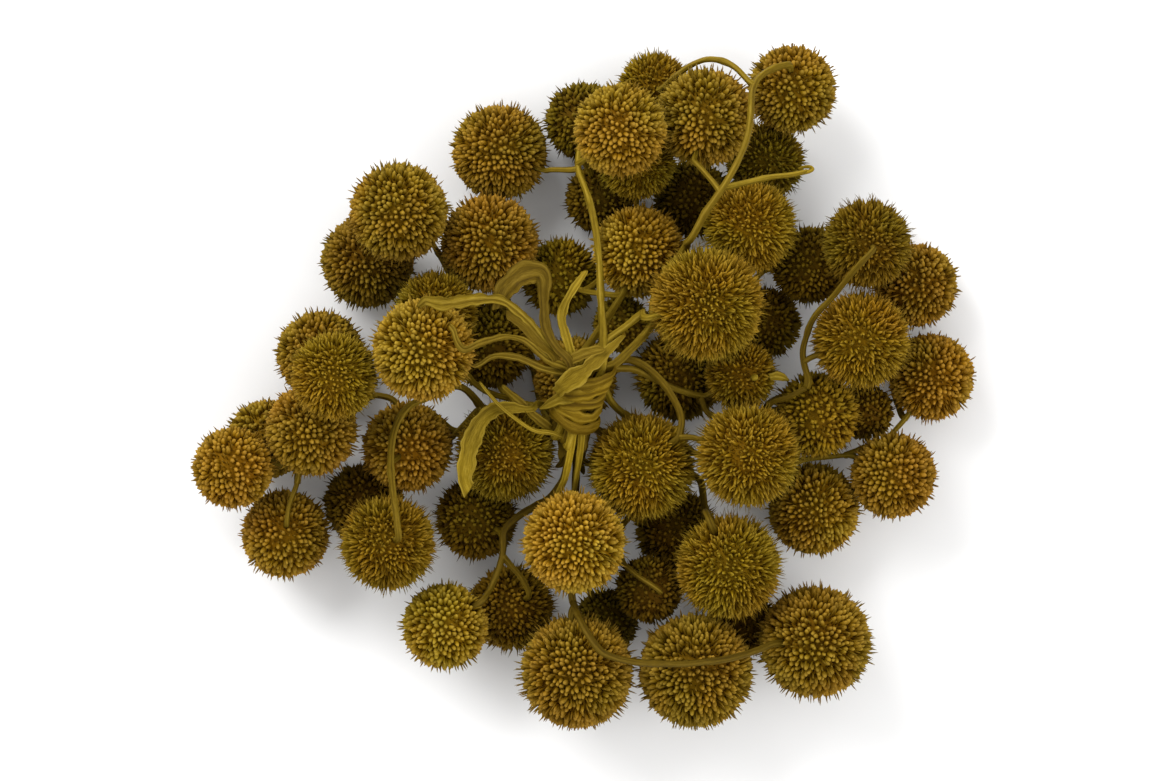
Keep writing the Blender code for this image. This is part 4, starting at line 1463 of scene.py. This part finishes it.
@dataclass(frozen=True)
class TuftFinish(Finish):
    """The finish of the seed tufts: dark at the foot and lightest at the tip of each tuft; the dark foot,
    which the core shares, is partly painted shade between the tufts.
    """

    group_name: ClassVar[str] = "tuft_colour"
    sockets: ClassVar[tuple[str, str, str]] = ("Foot_and_shade", "Flank", "Tip")

    def draw(self, nodes: Nodes, colours: list) -> tuple:
        """Colours a tuft by height, times its own tint, the ball's shade and warmth, and faint blotches.

        Args:
            nodes: The group's tree.
            colours: Its three inputs.

        Returns:
            The sockets of its colour, roughness and normal.
        """
        foot, flank, tip = colours
        where = nodes.add("TexCoord").outputs["Object"]
        grain = nodes.noise(where, 2600.0, 2.0)
        blotch = nodes.sums("MULTIPLY_ADD", nodes.noise(where, 110.0, 2.0), 0.35, -0.175)
        level = nodes.sums("ADD", nodes.painted("height"), blotch)
        # The dark foot colour low on each tuft is partly painted shade between the tufts.
        lower = nodes.mix(nodes.ramp(level, 0.12, 0.55), foot, flank)
        colour = nodes.mix(nodes.ramp(level, 0.45, 0.95), lower, tip)
        own = nodes.ramp(nodes.painted("tint"), low=0.56, high=1.16)
        light = nodes.sums("MULTIPLY", own, nodes.ramp(grain, 0.3, 0.7, 0.86, 1.12))
        colour = nodes.lit(colour, nodes.sums("MULTIPLY", light, nodes.painted("shade")))
        greener = nodes.ramp(nodes.noise(where, 52.0, 1.0), 0.38, 0.62)
        colour = nodes.hued(colour, nodes.mix(greener, (1.06, 0.95, 0.9, 1), (0.97, 1.01, 0.9, 1)))
        warmer = nodes.ramp(nodes.painted("warmth"), -1.0)
        colour = nodes.hued(colour, nodes.mix(warmer, (0.95, 1.05, 1, 1), (1.02, 0.985, 1, 1)))
        return colour, nodes.ramp(grain, low=0.62, high=0.9), nodes.bump(grain, 0.35, 0.0002)


@dataclass(frozen=True)
class FibreFinish(Finish):
    """The finish of stalks and straps: long fibres, with painted shade in the grooves and paler ridges."""

    group_name: ClassVar[str] = "fibre_colour"
    sockets: ClassVar[tuple[str, str, str]] = ("Groove_shade", "Body", "Ridge")

    def draw(self, nodes: Nodes, colours: list) -> tuple:
        """Draws long fibres over the grooves, times the piece's age and shade and patches, browner when dark.

        Args:
            nodes: The group's tree.
            colours: Its three inputs.

        Returns:
            The sockets of its colour, roughness and normal.
        """
        groove, body, ridge = colours
        way = nodes.painted("fibre", "Vector")
        lines = nodes.noise(way, 7.0, 5.0, 0.65)
        depth = nodes.sums("MULTIPLY_ADD", lines, 0.75, -0.2)
        level = nodes.sums("MULTIPLY_ADD", nodes.painted("groove"), 0.42, depth)
        # The groove colour in the hollows of the grooves and ribs is painted shade.
        lower = nodes.mix(nodes.ramp(level, 0.12, 0.42), groove, body)
        colour = nodes.mix(nodes.ramp(level, 0.38, 0.72), lower, ridge)
        patch = nodes.ramp(nodes.noise(way, 1.6, 2.0), 0.3, 0.7, 0.78, 1.15)
        light = nodes.sums("MULTIPLY", nodes.ramp(nodes.painted("age"), low=0.8, high=1.15), patch)
        light = nodes.sums("MULTIPLY", light, nodes.painted("shade"))
        hue = nodes.mix(nodes.ramp(light, 0.45), (1.03, 0.94, 0.8, 1), (1, 1, 1, 1))
        colour = nodes.hued(nodes.lit(colour, light), hue)
        return colour, nodes.ramp(lines, low=0.5, high=0.8), nodes.bump(level, 0.6, 0.0003)


def blank_material(name: str) -> tuple[bpy.types.Material, Nodes, bpy.types.Node]:
    """Makes a new material.

    Args:
        name: Its name.

    Returns:
        The material, its node tree and its shader.
    """
    material = bpy.data.materials.new(name)
    material.use_nodes = True
    shader = material.node_tree.nodes["Principled BSDF"]
    shader.inputs["Specular IOR Level"].default_value = 0.06
    return material, Nodes(material.node_tree), shader


TUFT_FINISHES = {
    Coat.GRAINS: TuftFinish(
        "grain_coat", ((0.175, 0.086, 0.0012), (0.205, 0.112, 0.002), (0.265, 0.16, 0.02))),
    Coat.HAIRS: TuftFinish(
        "hair_coat", ((0.175, 0.09, 0.0012), (0.205, 0.118, 0.002), (0.245, 0.153, 0.015))),
    # Darker all over, as painted shade for the balls deep in the bunch.
    Coat.SHADED: TuftFinish(
        "shaded_coat", ((0.11, 0.054, 0.0008), (0.14, 0.078, 0.0014), (0.178, 0.106, 0.0085))),
}
# Colours of the grooves, which are painted shade, then of the body and the ridges.
STALK_FINISH = FibreFinish("stalk_fibre", ((0.08, 0.048, 0.001), (0.19, 0.126, 0.006), (0.32, 0.222, 0.03)))
STRAP_FINISH = FibreFinish(
    "strap_fibre", ((0.07, 0.042, 0.001), (0.185, 0.122, 0.006), (0.345, 0.245, 0.034)))
TIE_FINISH = FibreFinish("tie_fibre", ((0.06, 0.033, 0.001), (0.15, 0.09, 0.003), (0.29, 0.192, 0.018)))


@dataclass(frozen=True)
class Lamp:
    """A square lamp that faces the bunch."""

    name: str
    at: Point  # in metres
    size: float  # side in metres
    power: float  # in watts

    def build(self, aim: Point) -> None:
        """Makes the lamp.

        Args:
            aim: The point that it faces.
        """
        data = bpy.data.lights.new(self.name, "AREA")
        data.size, data.energy = self.size, self.power
        lamp = bpy.data.objects.new(self.name, data)
        lamp.location = self.at
        lamp.rotation_mode = "QUATERNION"
        lamp.rotation_quaternion = Vector(np.array(aim) - np.array(self.at)).to_track_quat("-Z", "Y")
        bpy.context.scene.collection.objects.link(lamp)


@dataclass
class Studio:
    """The pale floor, the soft light and the camera that looks straight down, in metres."""

    far: float = 2.4  # from the camera to the middle of the bunch
    height: float = 0.035  # of the middle of the bunch
    sensor: float = 36.0  # width in mm
    floor_half: float = 3.0
    floor_height: float = -0.0002
    floor_colour: Rgb = (0.86, 0.86, 0.86)
    sky: float = 0.9
    aim: Point = (0.0, 0.0, 0.02)
    lamps: tuple[Lamp, ...] = (Lamp("left_light", (-1.3, 1.5, 1.6), 1.6, 60.0),
                               Lamp("right_light", (1.5, -0.5, 1.3), 1.4, 22.0))

    def floor(self) -> None:
        """Makes the floor, a flat square sheet just under the bunch."""
        mesh = bpy.data.meshes.new("floor")
        corners = [(x * self.floor_half, y * self.floor_half, self.floor_height)
                   for x, y in ((-1, -1), (1, -1), (1, 1), (-1, 1))]
        mesh.from_pydata(corners, [], [(0, 1, 2, 3)])
        floor = bpy.data.objects.new("floor", mesh)
        bpy.context.scene.collection.objects.link(floor)
        material, _, shader = blank_material("pale_floor")
        shader.inputs["Base Color"].default_value = (*self.floor_colour, 1)
        shader.inputs["Roughness"].default_value = 0.9
        mesh.materials.append(material)
        floor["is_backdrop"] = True

    def camera(self) -> None:
        """Makes the camera, which sees the layout's whole width."""
        data = bpy.data.cameras.new("camera")
        data.sensor_width, data.sensor_fit = self.sensor, "HORIZONTAL"
        data.lens = self.sensor * self.far / (PICTURE[0] * STEP * MM)
        data.clip_start, data.clip_end = 0.1, 20
        eye = bpy.data.objects.new("camera", data)
        eye.location = (0.0, (MIDDLE[1] - PICTURE[1] / 2) * STEP * MM, self.height + self.far)
        bpy.context.scene.collection.objects.link(eye)
        bpy.context.scene.camera = eye

    def build(self) -> None:
        """Makes the floor, the lamps, the sky light and the camera."""
        self.floor()
        world = bpy.data.worlds.new("soft_sky")
        world.use_nodes = True
        world.node_tree.nodes["Background"].inputs["Color"].default_value = (1, 1, 1, 1)
        world.node_tree.nodes["Background"].inputs["Strength"].default_value = self.sky
        bpy.context.scene.world = world
        for lamp in self.lamps:
            lamp.build(self.aim)
        self.camera()
        bpy.context.scene.view_settings.view_transform = "Standard"


def main() -> None:
    """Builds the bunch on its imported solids."""
    logging.basicConfig(level=logging.INFO, format="%(message)s")
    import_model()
    low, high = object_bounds()
    box = (np.array(low), np.array(high))
    layout = Layout()
    LOG.info("layout: %d balls, %d stalks", len(layout.balls), len(layout.stalks))
    coats = {coat: finish.material() for coat, finish in TUFT_FINISHES.items()}
    for number in sorted(layout.balls):
        ball = SeedBall(number, layout.middles[number], layout.radii[number], layout.entry[number],
                        coat_of(number))
        piece = ball.build(*box)
        piece.data.materials.append(coats[ball.coat])
        LOG.info("%s: %s, %d points", piece.name, ball.coat.value, len(piece.data.vertices))
    straps = CutEnds(layout)
    parts = ((StalkWork(layout), STALK_FINISH, "stalk"), (straps, STRAP_FINISH, "stalk"),
             (Tie(straps), TIE_FINISH, "tie"))
    for maker, finish, slot in parts:
        piece = maker.build(*box)
        piece.data.materials.append(finish.material())
        LOG.info("%s: %d points", piece.name, len(piece.data.vertices))
    Studio().build()
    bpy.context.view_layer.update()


if __name__ == "__main__":
    main()
